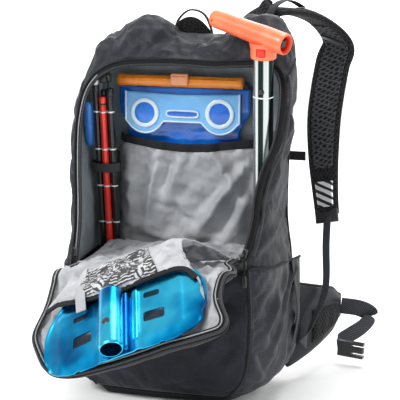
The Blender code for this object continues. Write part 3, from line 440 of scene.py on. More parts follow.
def probe_mat(name, dark, light, marks=True):
    """Anodised tube with pale rings every 50 mm and thin centimetre ticks, along the UV's V in metres."""
    m = Mat(name, Coat_Weight=0.4, Coat_Roughness=0.12, Metallic=0.35)
    base = m.ramp(m.noise(20, 3), [(0.3, dark), (0.7, light)])
    sep = m.new("ShaderNodeSeparateXYZ")
    m.link(m.coord.outputs["UV"], sep.inputs[0])
    v = sep.outputs["Y"]
    if marks:
        ring = m.math("LESS_THAN", m.math("PINGPONG", v, 0.029), 0.0011)
        tick = m.math("MULTIPLY", m.math("LESS_THAN", m.math("PINGPONG", v, 0.0058), 0.0005), m.math("LESS_THAN", m.math("ABSOLUTE", m.math("SUBTRACT", sep.outputs["X"], 0.3)), 0.05))
        base = m.mix(m.math("MAXIMUM", ring, m.math("MULTIPLY", tick, 0.8)), base, (0.82, 0.82, 0.8))
    m.colour(base)
    m.rough(m.noise(60, 3), 0.18, 0.3)
    m.bump((m.noise(400, 2), 0.00006, 0.25))
    return m.m


M_PROBE = probe_mat("probe_black", (0.006, 0.006, 0.007), (0.02, 0.02, 0.022))
M_PROBE_RED = probe_mat("probe_red", (0.7, 0.02, 0.012), (0.9, 0.05, 0.03))


def film(name, dark, light, alpha=0.0):
    m = Mat(name, Coat_Weight=0.5, Coat_Roughness=0.08, Transmission_Weight=alpha, IOR=1.4, Specular_IOR_Level=0.6)
    m.colour(m.ramp(m.noise(11, 5, 0.62, stretch=(1, 1, 1.6)), [(0.28, dark), (0.46, lerp_c(dark, light, 0.4)), (0.7, light)]))
    m.rough(m.noise(30, 3), 0.1, 0.24)
    m.bump((m.noise(24, 4, 0.6), 0.003, 0.5), (m.noise(90, 4), 0.0006, 0.3))
    return m.m


def lerp_c(a, b, t):
    return tuple(x + (y - x) * t for x, y in zip(a, b))


M_FILM = film("bladder_blue_film", (0.002, 0.06, 0.42), (0.012, 0.24, 0.86))
M_FILM_HANDLE = film("bladder_handle_film", (0.09, 0.36, 0.75), (0.22, 0.52, 0.85))
M_FILM_RIM = film("bladder_rim_film", (0.5, 0.66, 0.8), (0.74, 0.85, 0.93))


def print_mat():
    """A generic abstract print: torn dark areas, dashes and chevrons on pale cloth."""
    m = Mat("lining_print", Roughness=0.55, Sheen_Weight=0.2)
    blob = m.math("GREATER_THAN", m.noise(26, 5, 0.72, "UV"), 0.44)
    rows = m.math("GREATER_THAN", m.wave(0.0052, "Y", distort=0.4), 0.72)
    dash = m.math("GREATER_THAN", m.noise(210, 2, 0.5, "UV", (0.6, 0.25, 1)), 0.47)
    chev = m.math("GREATER_THAN", m.wave(0.0075, "X", rot=0.8, distort=5.0), 0.62)
    a = m.math("MULTIPLY", blob, m.math("SUBTRACT", 1.0, m.math("MULTIPLY", rows, dash)))
    b = m.math("MULTIPLY", m.math("SUBTRACT", 1.0, blob), m.math("MULTIPLY", chev, m.math("GREATER_THAN", m.noise(17, 3, 0.5, "UV"), 0.47)))
    ink = m.math("MAXIMUM", a, b, True)
    m.colour(m.mix(ink, (0.5, 0.51, 0.53), (0.012, 0.012, 0.014)))
    m.bump((m.noise(38, 6, 0.66), 0.003, 0.5), (m.noise(300, 2), 0.0002, 0.3))
    return m.m


M_PRINT = print_mat()


def reflective_mat():
    m = Mat("reflective_patch", Metallic=0.5, Coat_Weight=0.3)
    k = m.math("GREATER_THAN", m.wave(0.011, "X", rot=0.55, distort=2.5), 0.42)
    m.colour(m.mix(k, (0.03, 0.03, 0.032), (0.86, 0.87, 0.88)))
    m.rough(m.noise(80, 3), 0.25, 0.4)
    m.bump((m.noise(300, 3), 0.0002, 0.4))
    return m.m


M_REFLECT = reflective_mat()

# ------------------------------------------------------------------ mesh tools
SIM = []


def link_obj(name, mesh, mats):
    o = bpy.data.objects.new(name, mesh)
    bpy.context.scene.collection.objects.link(o)
    for m in mats if isinstance(mats, (list, tuple)) else [mats]:
        mesh.materials.append(m)
    mesh.shade_smooth()
    return o


def surf(name, P, mat, body="pack", rep=(), thick=0.0, hint="out", subd=0, wrap=False, fine=None):
    """A grid of points in mm made a sheet; thick adds cloth thickness on the side away from hint."""
    P = np.asarray(P, float)
    nu, nv = P.shape[0], P.shape[1]
    du = np.linalg.norm(np.diff(P, axis=0), axis=2)
    dv = np.linalg.norm(np.diff(P, axis=1), axis=2)
    u = np.vstack([np.zeros((1, nv)), np.cumsum(du, 0)])
    v = np.hstack([np.zeros((nu, 1)), np.cumsum(dv, 1)])
    verts = P.reshape(-1, 3)
    idx = np.arange(nu * nv).reshape(nu, nv)
    faces = np.stack([idx[:-1, :-1], idx[1:, :-1], idx[1:, 1:], idx[:-1, 1:]], -1).reshape(-1, 4)
    a = verts[faces]
    n = np.cross(a[:, 2] - a[:, 0], a[:, 3] - a[:, 1])
    c = a.mean(1)
    h = (c - V(0, 0, 300)) if isinstance(hint, str) else np.broadcast_to(V(*hint), c.shape)
    if (n * h).sum() < 0:
        faces = faces[:, ::-1]
    mesh = bpy.data.meshes.new(name)
    mesh.from_pydata((verts * MM).tolist(), [], faces.tolist())
    uv = mesh.uv_layers.new(name="UVMap")
    loops = np.empty(len(mesh.loops), np.int32)
    mesh.loops.foreach_get("vertex_index", loops)
    flat = np.stack([u.ravel() * MM, v.ravel() * MM], 1)[loops]
    uv.data.foreach_set("uv", flat.ravel())
    o = link_obj(name, mesh, mat)
    o["thick"], o["subd"] = float(thick), int(subd)
    settle(o, body, rep)
    return o


def settle(o, body, rep=()):
    if isinstance(rep, str):
        rep = (rep,)
    if rep:
        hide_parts(*rep)
    if isinstance(body, str):
        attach(o, body)


def thicken(o):
    t, s = o.get("thick", 0.0), o.get("subd", 0)
    if t:
        m = o.modifiers.new("cloth_thickness", "SOLIDIFY")
        m.thickness, m.offset = t * MM, -1
    if s:
        m = o.modifiers.new("smooth", "SUBSURF")
        m.levels = m.render_levels = s


def frames_along(pts, ref=None):
    pts = np.asarray(pts, float)
    T = unit(np.gradient(pts, axis=0))
    n = np.cross(T[0], V(0, 0, 1) if abs(T[0][2]) < 0.9 else V(1, 0, 0)) if ref is None else V(*ref)
    N = []
    for t in T:
        n = unit(n - t * (n @ t))
        N.append(n)
    N = np.array(N)
    return T, N, np.cross(T, N)


def tube_points(pts, r, sides=12, ref=None, oval=1.0, caps=True):
    pts = np.asarray(pts, float)
    T, N, Bn = frames_along(pts, ref)
    r = np.broadcast_to(r, (len(pts),)).astype(float)
    a = np.linspace(0, 2 * math.pi, sides + 1)
    ring = N[:, None] * (np.cos(a)[None, :, None] * r[:, None, None]) + Bn[:, None] * (np.sin(a)[None, :, None] * r[:, None, None] * oval)
    return pts[:, None] + ring


def closed_sweep(name, R, mat, body="pack", rep=(), uvx=None, subd=0, origin=None, path=None):
    """R[i, j]: rings along a sweep whose last column repeats the first; both ends are capped."""
    n, m = R.shape[0], R.shape[1] - 1
    verts = R[:, :m].reshape(-1, 3)
    idx = np.arange(n * m).reshape(n, m)
    nxt = np.roll(idx, -1, axis=1)
    faces = np.stack([idx[:-1], nxt[:-1], nxt[1:], idx[1:]], -1).reshape(-1, 4).tolist()
    length = np.concatenate([[0], np.cumsum(np.linalg.norm(np.diff(R.mean(1), axis=0), axis=1))]) * MM
    xs = (np.arange(m + 1) / m) if uvx is None else np.asarray(uvx)
    uvs = []
    for i in range(n - 1):
        for j in range(m):
            uvs += [(xs[j], length[i]), (xs[j + 1], length[i]), (xs[j + 1], length[i + 1]), (xs[j], length[i + 1])]
    faces.append(list(idx[0][::-1]))
    uvs += [(xs[j], 0.0) for j in range(m)][::-1]
    faces.append(list(idx[-1]))
    uvs += [(xs[j], length[-1]) for j in range(m)]
    mesh = bpy.data.meshes.new(name)
    mesh.from_pydata((verts * MM).tolist(), [], faces)
    uv = mesh.uv_layers.new(name="UVMap")
    uv.data.foreach_set("uv", np.array(uvs, float).ravel())
    bm = bmesh.new()
    bm.from_mesh(mesh)
    bmesh.ops.recalc_face_normals(bm, faces=bm.faces)
    bm.to_mesh(mesh)
    bm.free()
    o = link_obj(name, mesh, mat)
    o["thick"], o["subd"] = 0.0, int(subd)
    mesh.set_sharp_from_angle(angle=math.radians(50))
    settle(o, body, rep)
    return o


def tube(name, pts, r, mat, body="pack", rep=(), sides=12, ref=None, oval=1.0, n=None, ends=True):
    pts = np.asarray(pts, float)
    if n:
        pts = spl(pts, np.linspace(0, len(pts) - 1, n))
    r = np.broadcast_to(r, (len(pts),)).astype(float).copy()
    if ends:
        T = unit(np.gradient(pts, axis=0))
        e = min(r[0], r[-1]) * 0.35
        pts = np.vstack([pts[0] - T[0] * e, pts, pts[-1] + T[-1] * e])
        r = np.concatenate([[r[0] * 0.72], r, [r[-1] * 0.72]])
    return closed_sweep(name, tube_points(pts, r, sides, ref, oval), mat, body, rep)


def strap(name, C, W, width, thick, mat, body="pack", rep=(), m=28, p=6.0, q=2.6, n=60, crown=0.0, round_ends=0.0, subd=0):
    """A flat or padded strap: cross-sections are superellipses width by thick, along C with width directions W."""
    u = np.linspace(0, 1, n)
    C = spl(C, u * (len(C) - 1))
    W = unit(spl(W, u * (len(W) - 1)))
    T = unit(np.gradient(C, axis=0))
    W = unit(W - T * np.sum(W * T, -1, keepdims=True))
    N = np.cross(T, W)
    width = np.array([width(x) for x in u]) if callable(width) else np.full(n, float(width))
    thick = np.array([thick(x) for x in u]) if callable(thick) else np.full(n, float(thick))
    L = np.concatenate([[0], np.cumsum(np.linalg.norm(np.diff(C, axis=0), axis=1))])
    if round_ends:
        e = np.minimum(L, L[-1] - L)
        k = np.sqrt(np.clip(1 - (1 - np.clip(e / round_ends, 0, 1)) ** 2, 0.02, 1))
        width = width * k
        thick = thick * (0.4 + 0.6 * k)
    a = np.linspace(0, 2 * math.pi, m + 1)
    ca, sa = np.cos(a), np.sin(a)
    A = np.sign(ca) * np.abs(ca) ** (2 / p)
    Bs = np.sign(sa) * np.abs(sa) ** (2 / q)
    R = C[:, None] + W[:, None] * (A[None, :, None] * width[:, None, None] / 2) + N[:, None] * (Bs[None, :, None] * thick[:, None, None] / 2)
    return closed_sweep(name, R, mat, body, rep, uvx=A * 0.5 * float(width.mean()) * MM, subd=subd)


def cloth(o, P, pin, grow=0.04, cap=7.0, frames=22, stiff=12.0, bend=0.4, gravity=0.0, press=0.0):
    """Queue o for cloth simulation: the sheet grows by grow between its pinned points and buckles into folds."""
    g = o.vertex_groups.new(name="pin")
    flat = np.asarray(pin, float).ravel()
    for w in np.unique(np.round(flat, 2)):
        if w > 0:
            g.add([int(i) for i in np.where(np.round(flat, 2) == w)[0]], float(w), "REPLACE")
    mod = o.modifiers.new("drape", "CLOTH")
    s = mod.settings
    s.quality = 6
    s.mass = 0.15
    s.tension_stiffness = s.compression_stiffness = stiff
    s.shear_stiffness = 4
    s.bending_stiffness = bend
    s.air_damping = 2.0
    s.shrink_min = -grow
    s.shrink_max = -grow
    s.vertex_group_mass = "pin"
    s.effector_weights.gravity = gravity
    if press:
        s.use_pressure = True
        s.uniform_pressure_force = press
    mod.point_cache.frame_start, mod.point_cache.frame_end = 1, frames
    SIM.append((o, cap, frames))


def run_cloth():
    if not SIM:
        return
    rest = {}
    for o, cap, frames in SIM:
        c = np.empty(len(o.data.vertices) * 3)
        o.data.vertices.foreach_get("co", c)
        rest[o.name] = c.reshape(-1, 3)
    sc = bpy.context.scene
    for f in range(1, max(s[2] for s in SIM) + 1):
        sc.frame_set(f)
    deps = bpy.context.evaluated_depsgraph_get()
    for o, cap, frames in SIM:
        ev = o.evaluated_get(deps)
        me = ev.to_mesh()
        c = np.empty(len(me.vertices) * 3)
        me.vertices.foreach_get("co", c)
        c = c.reshape(-1, 3)
        ev.to_mesh_clear()
        d = c - rest[o.name]
        L = np.linalg.norm(d, axis=1, keepdims=True)
        lim = cap * MM
        d *= np.where(L > 1e-9, lim * np.tanh(L / lim) / np.maximum(L, 1e-9), 0)
        if not np.isfinite(d).all():
            d[:] = 0
        o.modifiers.remove(o.modifiers["drape"])
        o.data.vertices.foreach_set("co", (rest[o.name] + d).ravel())
        o.data.update()
    sc.frame_set(1)
    SIM.clear()


def border(nu, nv, w=1, sides="lrbt"):
    p = np.zeros((nu, nv))
    if "l" in sides:
        p[:w] = 1
    if "r" in sides:
        p[-w:] = 1
    if "b" in sides:
        p[:, :w] = 1
    if "t" in sides:
        p[:, -w:] = 1
    return p


# ------------------------------------------------------------------ helpers that use the shapes above
def normals(P, hint="out"):
    n = unit(np.cross(np.gradient(P, axis=0), np.gradient(P, axis=1)))
    h = (P - V(0, 0, 300)) if isinstance(hint, str) else np.broadcast_to(V(*hint), P.shape)
    return n if (n * h).sum() > 0 else -n


def window(nu, nv, w=0.12, sides="lrbt"):
    a, b = np.linspace(0, 1, nu)[:, None], np.linspace(0, 1, nv)[None]
    m = np.ones((nu, nv))
    for k, x in (("l", a), ("r", 1 - a), ("b", b), ("t", 1 - b)):
        if k in sides:
            m = m * sm(x / w)
    return m


def grid(nu, nv, u0=0.0, u1=1.0, v0=0.0, v1=1.0):
    return np.meshgrid(np.linspace(u0, u1, nu), np.linspace(v0, v1, nv), indexing="ij")


def arc(P, axis):
    return float(np.linalg.norm(np.diff(P, axis=axis), axis=2).sum(axis).mean())


def area_of(P):
    a, b, c, d = P[:-1, :-1], P[1:, :-1], P[1:, 1:], P[:-1, 1:]
    return float((np.linalg.norm(np.cross(b - a, c - a), axis=-1) + np.linalg.norm(np.cross(c - a, d - a), axis=-1)).sum() / 2)


def as_sheet(o, P):
    w, l, a = arc(P, 0) * MM, arc(P, 1) * MM, area_of(P) * MM * MM
    if a > w * l:
        k = math.sqrt(a / (w * l)) * 1.001
        w, l = w * k, l * k
    return o


def pillow(name, A, Bq, mat, body="pack", rep=(), subd=0):
    """Closed form between two grids of points."""
    nu, nv = A.shape[:2]
    verts = np.concatenate([A.reshape(-1, 3), Bq.reshape(-1, 3)])
    i = np.arange(nu * nv).reshape(nu, nv)
    q = lambda i: np.stack([i[:-1, :-1], i[1:, :-1], i[1:, 1:], i[:-1, 1:]], -1).reshape(-1, 4)
    faces = q(i).tolist() + q(i + nu * nv)[:, ::-1].tolist()
    ring = list(i[:, 0]) + list(i[-1, 1:]) + list(i[-2::-1, -1]) + list(i[0, -2:0:-1])
    for a, b in zip(ring, ring[1:] + ring[:1]):
        faces.append([int(b), int(a), int(a) + nu * nv, int(b) + nu * nv])
    mesh = bpy.data.meshes.new(name)
    mesh.from_pydata((verts * MM).tolist(), [], faces)
    u = np.vstack([np.zeros((1, nv)), np.cumsum(np.linalg.norm(np.diff(A, axis=0), axis=2), 0)]).ravel() * MM
    v = np.hstack([np.zeros((nu, 1)), np.cumsum(np.linalg.norm(np.diff(A, axis=1), axis=2), 1)]).ravel() * MM
    uvv = np.stack([np.concatenate([u, u]), np.concatenate([v, v])], 1)
    uv = mesh.uv_layers.new(name="UVMap")
    loops = np.empty(len(mesh.loops), np.int32)
    mesh.loops.foreach_get("vertex_index", loops)
    uv.data.foreach_set("uv", uvv[loops].ravel())
    bm = bmesh.new()
    bm.from_mesh(mesh)
    bmesh.ops.recalc_face_normals(bm, faces=bm.faces)
    bm.to_mesh(mesh)
    bm.free()
    o = link_obj(name, mesh, mat)
    o["thick"], o["subd"] = 0.0, int(subd)
    settle(o, body, rep)
    return o


def bake(o):
    if not o.modifiers:
        return
    deps = bpy.context.evaluated_depsgraph_get()
    new = bpy.data.meshes.new_from_object(o.evaluated_get(deps), preserve_all_data_layers=True, depsgraph=deps)
    old = o.data
    o.modifiers.clear()
    o.data = new
    new.name = old.name + "_m"
    bpy.data.meshes.remove(old)


def lathe(name, start, axis, rings, mat, body="pack", rep=(), sides=32, oval=1.0, flat=None, bore=None):
    axis = unit(V(*axis))
    a = V(*flat) if flat is not None else (V(0, 0, 1) if abs(axis[2]) < 0.9 else V(1, 0, 0))
    a = unit(a - axis * (a @ axis))
    b = np.cross(axis, a)
    ang = np.linspace(0, 2 * math.pi, sides + 1)
    prof = list(rings) + [(d, r) for d, r in reversed(bore or [])]
    R = np.array([V(*start) + axis * d + np.outer(np.cos(ang) * r, a) + np.outer(np.sin(ang) * r * oval, b) for d, r in prof])
    return closed_sweep(name, R, mat, body, rep)


def cut(o, tool, op="DIFFERENCE"):
    m = o.modifiers.new("cut", "BOOLEAN")
    m.operation, m.solver, m.object = op, "EXACT", tool
    bpy.context.view_layer.update()
    bake(o)
    me = tool.data
    bpy.data.objects.remove(tool)
    bpy.data.meshes.remove(me)
    o.data.set_sharp_from_angle(angle=math.radians(40))


def box_form(name, size, centre, X, Y, mat, body="pack", rep=(), bevel=1.5, seg=3):
    X, Y = unit(V(*X)), V(*Y)
    Y = unit(Y - X * (Y @ X))
    Z = np.cross(X, Y)
    bm = bmesh.new()
    bmesh.ops.create_cube(bm, size=1.0)
    for v in bm.verts:
        v.co = Vector((V(*centre) + X * v.co.x * size[0] + Y * v.co.y * size[1] + Z * v.co.z * size[2]) * MM)
    bmesh.ops.recalc_face_normals(bm, faces=bm.faces)
    bmesh.ops.bevel(bm, geom=bm.edges[:], offset=bevel * MM, segments=seg, affect="EDGES", profile=0.5)
    bmesh.ops.recalc_face_normals(bm, faces=bm.faces)
    mesh = bpy.data.meshes.new(name)
    bm.to_mesh(mesh)
    bm.free()
    mesh.uv_layers.new(name="UVMap")
    o = link_obj(name, mesh, mat)
    o["thick"], o["subd"] = 0.0, 0
    mesh.set_sharp_from_angle(angle=math.radians(35))
    if body is not None:
        settle(o, body, rep)
    return o


def ripple(P, seed, wave, amp, w=0.12, hint="out", lines=(), sides="lrbt", width=5.0, stretch=(1, 1, 1), flat=None):
    """Folds the grid along its normals; flat is the axis left out when the drawn creases are measured."""
    m = window(P.shape[0], P.shape[1], w, sides)
    keep = np.array([float(k != flat) for k in range(3)])
    h = folds(P, seed, wave, amp, stretch=stretch) + crease_lines(P * keep, [(V(*a) * keep, V(*b) * keep, g) for a, b, g in lines], width)
    return P + normals(P, hint) * (h * m)[..., None]


# ------------------------------------------------------------------ outer shell
def shell_sheet(name, s0, s1, t0, t1, nu, nv, mat, seed, amp, off=0.0, rep=(), lines=(), flat=None, wave=80, sim=0.0, thick=1.2):
    S, T = grid(nu, nv, s0, s1, t0, t1)
    P = shell_point(S, T) + shell_normal(S, T) * off
    P = ripple(P, seed, wave, amp, 0.1, lines=lines, flat=flat, width=7.0)
    P = ripple(P, seed + 50, wave * 0.3, amp * 0.28, 0.1)
    hint = (P - V(0, 0, 300)).reshape(-1, 3)
    o = surf(name, P, mat, "pack", rep, thick=thick)
    as_sheet(o, P)
    if sim:
        cloth(o, P, border(nu, nv), grow=sim, cap=4.5)
    return o, P


shell_sheet("side_panel_left", 0.0, 10.0, 0.0, 1.0, 110, 46, M_SHELL, 11, 2.0, rep="side_wall_left", sim=0.025)
shell_sheet("hood_panel", 10.0, 21.0, 0.0, 1.0, 120, 50, M_SHELL, 12, 3.4, rep="hood", sim=0.03,
            flat=1,
            lines=(((-118, 0, 478), (-52, 0, 556), 4.5), ((-92, 0, 490), (-30, 0, 542), 4.5), ((-60, 0, 498), (18, 0, 522), 4.0), ((92, 0, 500), (30, 0, 528), 4.0), ((126, 0, 484), (92, 0, 560), 4.5), ((158, 0, 470), (128, 0, 566), 4.5), ((-140, 0, 440), (-120, 0, 520), 3.5)))
shell_sheet("side_panel_right", 21.0, 32.0, 0.0, 1.0, 120, 46, M_SHELL, 13, 2.2, rep="side_wall_right", sim=0.025,
            flat=0,
            lines=(((0, 60, 500), (0, -45, 380), 4.0), ((0, 70, 430), (0, -60, 320), 3.6), ((0, 60, 300), (0, -75, 240), 3.6), ((0, 0, 470), (0, -40, 330), 3.0)))
for i, s in enumerate((10.0, 21.0)):
    t = np.linspace(0.02, 0.98, 40)
    P = shell_point(np.full(40, s), t) + shell_normal(np.full(40, s), t) * 0.9
    tube("hood_seam_%d" % i, P, 1.5, M_BINDING, sides=10)
# seams along the back edge
s = np.linspace(0.2, 31.8, 220)
tube("back_seam_piping", shell_point(s, np.full(220, 0.012)), 2.2, M_BLACK_WEB, sides=10)
# side compression line on each wall, a stitched fold, drawn in the darker copy of the shell fabric: painted shade along
# the fold
for i, sv in enumerate((6.5, 25.5)):
    t = np.linspace(0.06, 0.94, 50)
    P = shell_point(np.full(50, sv), t) + shell_normal(np.full(50, sv), t) * 0.7
    tube("side_seam_%d" % i, P, 0.9, M_SHELL_PAINTED_SHADE, sides=8)

U, W_ = grid(80, 44)
left, right = spl(EDGE, lerp(0.05, 3.72, W_)), spl(EDGE, lerp(31.95, 28.28, W_))
left, right = left + V(-0.4, -3.1, 0), right + V(0.4, -3.1, 0)
P = left + (right - left) * U[..., None]
P[..., 1] -= np.sin(math.pi * U) ** 0.7 * (5 + 9 * np.sin(math.pi * np.minimum(1, W_ * 0.9 + 0.1)))
P = ripple(P, 21, 70, 2.4, 0.1, (0, -1, 0), flat=1, width=8.0, lines=(((120, 0, 195), (20, 0, 120), 5.0), ((-110, 0, 185), (-10, 0, 90), 4.0), ((125, 0, 140), (40, 0, 50), 5.0), ((128, 0, 90), (80, 0, 30), 4.0), ((60, 0, 190), (-60, 0, 160), 4.0)))
o = surf("lower_front_panel", P, M_SHELL, rep="lower_front", thick=1.2, hint=(0, -1, 0))
as_sheet(o, P)
cloth(o, P, border(80, 44), grow=0.03, cap=4.5)
for side, e in (("left", P[0]), ("right", P[-1])):
    tube("front_seam_" + side, e, 1.8, M_BINDING, sides=10)

U, W_ = grid(60, 50)
left, right = shell_point(np.zeros_like(W_), 1 - W_), shell_point(np.full_like(W_, N_ST), 1 - W_)
P = left + (right - left) * U[..., None]
P = np.stack([P[..., 0] * 0.955, lerp(P[..., 1], 6.0, 0.05) - 7 * np.sin(math.pi * U) * (1 - W_) ** 3, P[..., 2] - 3.2], -1)
e = np.minimum(np.minimum(U, 1 - U) / 0.08, np.minimum(W_, 1 - W_) / 0.1)
P[..., 2] *= 1 - sm(e)
P[..., 2] += 0.6 + 0.5 * folds(P, 31, 60, 1.0) * sm(e) ** 2
P[..., 2] = np.maximum(P[..., 2], 0.3)
# the base is drawn in the darker shell copy: painted shade under the open flap
o = surf("base_panel", P, M_SHELL_PAINTED_SHADE, rep="base", thick=1.5, hint=(0, 0, -1))
as_sheet(o, P)

# the body's half of the zip: tape, coil and outer piping
q = np.linspace(0, 1, 260)
A = rim3(q, 0.4, 0.2)
Bq = rim3(q, TAPE_W + 1.0, 0.0)
v = np.linspace(0, 1, 6)[None, :, None]
P = A[:, None] + (Bq - A)[:, None] * v
P = P + NRM * (np.sin(math.pi * v) * 1.2)
surf("body_zip_tape_visual", P, M_BLACK_WEB, rep="body_zip_tape", thick=1.0, hint=(0, -1, 0.3))
tube("body_zip_coil", rim3(q, 1.0, 1.4), 2.1, M_COIL, sides=10)
tube("body_zip_piping", rim3(q, TAPE_W - 0.6, 1.6), 1.5, M_BINDING, sides=8)
ql = np.linspace(0.02, 0.3, 80)
tube("rim_light_piping", rim3(ql, 4.6, 2.2), 0.9, M_LIGHT_WEB, sides=8)
qr = np.linspace(0.7, 0.98, 90)
tube("rim_second_zip", rim3(qr, TAPE_W + 6.0, 0.6), 1.9, M_COIL, sides=8)

# inner lining of the walls and back
for name, s0, s1, mat, seed in (("wall_lining_left", 3.6, 11.0, M_LINING_COOL, 41), ("wall_lining_top", 11.0, 20.5, M_LINING, 42), ("wall_lining_right", 20.5, 28.4, M_LINING, 43)):
    S, T = grid(90, 44, s0, s1, 0.03, 0.985)
    off = -(3.0 + 7.5 * np.sin(math.pi * np.clip(T, 0, 1)) ** 0.5)
    P = shell_point(S, T) + shell_normal(S, T) * off[..., None]
    P = ripple(P, seed, 46, 1.1, 0.08)
    o = surf(name, P, mat, thick=-0.6)
    as_sheet(o, P)


def outline_panel(U, W_, y, scale):
    left, right = spl(B_PTS, 1.0 + 9.6 * W_), spl(B_PTS, 31.0 - 9.9 * W_)
    p = left + (right - left) * U[..., None]
    z0, z1 = B10[2], B21[2]
    lift = (spl(B_PTS, 10.6 + 10.5 * U)[..., 2] - (z0 + (z1 - z0) * U)) * sm((W_ - 0.75) / 0.25)
    x, z = p[..., 0] * scale, 280 + (p[..., 2] + lift - 280) * scale
    return np.stack([x, np.full_like(x, y), z], -1)


B10, B21 = spl(B_PTS, 10.6), spl(B_PTS, 21.1)
U, W_ = grid(70, 90)
P = outline_panel(U, W_, 78.6, 0.975)
P = ripple(P, 44, 60, 1.2, 0.08, (0, -1, 0))
o = surf("back_lining", P, M_LINING_COOL, thick=0.6, hint=(0, -1, 0))
as_sheet(o, P)

# ------------------------------------------------------------------ back panel, pads
U, W_ = grid(90, 110)
F = outline_panel(U, W_, BACK_Y + BACK_T, 0.995)
e = sm(np.minimum(np.minimum(U, 1 - U), np.minimum(W_, 1 - W_)) / 0.05)
chan = np.exp(-(np.abs(F[..., 0]) / 9.0) ** 2) + 0.8 * np.exp(-((np.abs(F[..., 0]) - 112) / 4.0) ** 2)
F[..., 1] += -4.0 + 4.0 * e ** 0.6 - 1.4 * chan * e + 0.4 * folds(F, 51, 40, 1.0)
G = outline_panel(U, W_, BACK_Y + 0.3, 0.995)
pillow("back_panel_padded", F, G, M_MESH_BLACK, rep="back_panel")
U, W_ = grid(44, 80)
a, b = 2 * U - 1, 2 * W_ - 1
for side, cx in (("left", -62), ("right", 62)):
    x = cx + 34 * a * np.sqrt(1 - 0.35 * b * b)
    z = 268 + 172 * b * np.sqrt(1 - 0.3 * a * a)
    crown = np.clip(1 - np.abs(a) ** 3, 0, 1) ** 0.7 * np.clip(1 - np.abs(b) ** 5, 0, 1) ** 0.7
    ch = sum(np.exp(-((z - zz - 0.12 * np.abs(x - cx)) / 3.2) ** 2) for zz in (168, 218, 268, 318, 368))
    y = BACK_Y + BACK_T + 0.3 + 2.0 + 13.0 * crown * (1 - 0.35 * np.clip(ch, 0, 1))
    A = np.stack([x, y, z], -1)
    pillow("back_pad_%s_pad" % side, A, np.stack([x, np.full_like(y, BACK_Y + BACK_T + 0.2), z], -1), M_MESH, rep="back_pad_" + side)
    edge = np.concatenate([A[:, 0], A[-1, 1:], A[-2::-1, -1], A[0, -2:0:-1], A[:1, 0]])
    tube("back_pad_%s_binding" % side, edge + V(0, -0.4, 0), 1.5, M_BINDING, sides=8, ends=False)
x, z = a * 85, 48 + b * 31 * (1 - 0.06 * a * a)
x = x * (1 - 0.1 * np.abs(b) ** 4)
crown = np.clip(1 - np.abs(a) ** 6, 0, 1) ** 0.6 * np.clip(1 - np.abs(b) ** 4, 0, 1) ** 0.6
y = BACK_Y + BACK_T + 2 + 11.4 * crown - 1.8 * np.exp(-(x / 4) ** 2) * crown
pillow("lumbar_pad_pad", np.stack([x, y, z], -1), np.stack([x, np.full_like(y, BACK_Y + BACK_T + 0.4), z], -1), M_MESH, rep="lumbar_pad")

# collar and grab loop
U, W_ = grid(50, 24)
rise = np.sin(math.pi * U) ** 0.7
z = 505 + (516 + 38 * rise - 505) * W_
x = lerp(-46, 30, U)
A = np.stack([x, 94.2 + 3 * np.sin(math.pi * W_) - 1.6 * np.sin(math.pi * U), z], -1)
pillow("mesh_collar_pad", A, A + V(0, 4.0, 0), M_MESH_BLACK, rep="mesh_collar")
tube("collar_binding", A[:, -1] + V(0, 2, 0.8), 1.9, M_BLACK_WEB, sides=10)
L = V(*(-38, 105.5, 508)), V(*(-37, 105.5, 530)), V(*(-30, 105.5, 552)), V(*(-12, 105.5, 566)), V(*(10, 105.5, 560)), V(*(22, 105.5, 536)), V(*(25, 105.5, 508))
strap("grab_loop_web", L, [(0, 1, 0)] * 7, 8.0, 2.6, M_BLACK_WEB, rep="grab_loop", n=70, m=20)

# ------------------------------------------------------------------ inside
U, W_ = grid(110, 64)
x = lerp(-114, 113, U)
z = 70 + (366 - 9 * np.sin(math.pi * U) ** 2 - 70) * W_
bow = np.sin(math.pi * np.clip(U, 0, 1)) ** 0.32
P = np.stack([x, 77.5 - 34 * bow * (0.55 + 0.45 * W_), z], -1)
TOPEDGE = P[:, -1].copy()
P = ripple(P, 61, 62, 3.4, 0.07, (0, -1, 0), sides="lrb", flat=1, lines=(((-40, 0, 362), (-70, 0, 215), 9.0), ((-5, 0, 352), (-50, 0, 225), 8.0), ((95, 0, 340), (5, 0, 225), 9.0), ((40, 0, 360), (100, 0, 260), 7.0), ((-95, 0, 355), (-85, 0, 220), 6.0), ((60, 0, 300), (20, 0, 215), 7.0), ((100, 0, 300), (60, 0, 215), 6.0), ((-20, 0, 300), (10, 0, 240), 6.0)), width=8)
P[..., 1] += 0.5
o = surf("hydration_sleeve_cloth", P, M_LINING, rep="hydration_sleeve", thick=-0.8, hint=(0, -1, 0))
as_sheet(o, P)
cloth(o, P, border(110, 64), grow=0.045, cap=6.5)
C = P[:, -1] + V(0, -1.0, 4.5)
Cc = C[::4]
strap("sleeve_binding_web", Cc, [(0, 0, 1)] * len(Cc), 12.5, 2.6, M_BINDING, rep="sleeve_binding", n=120, m=20)

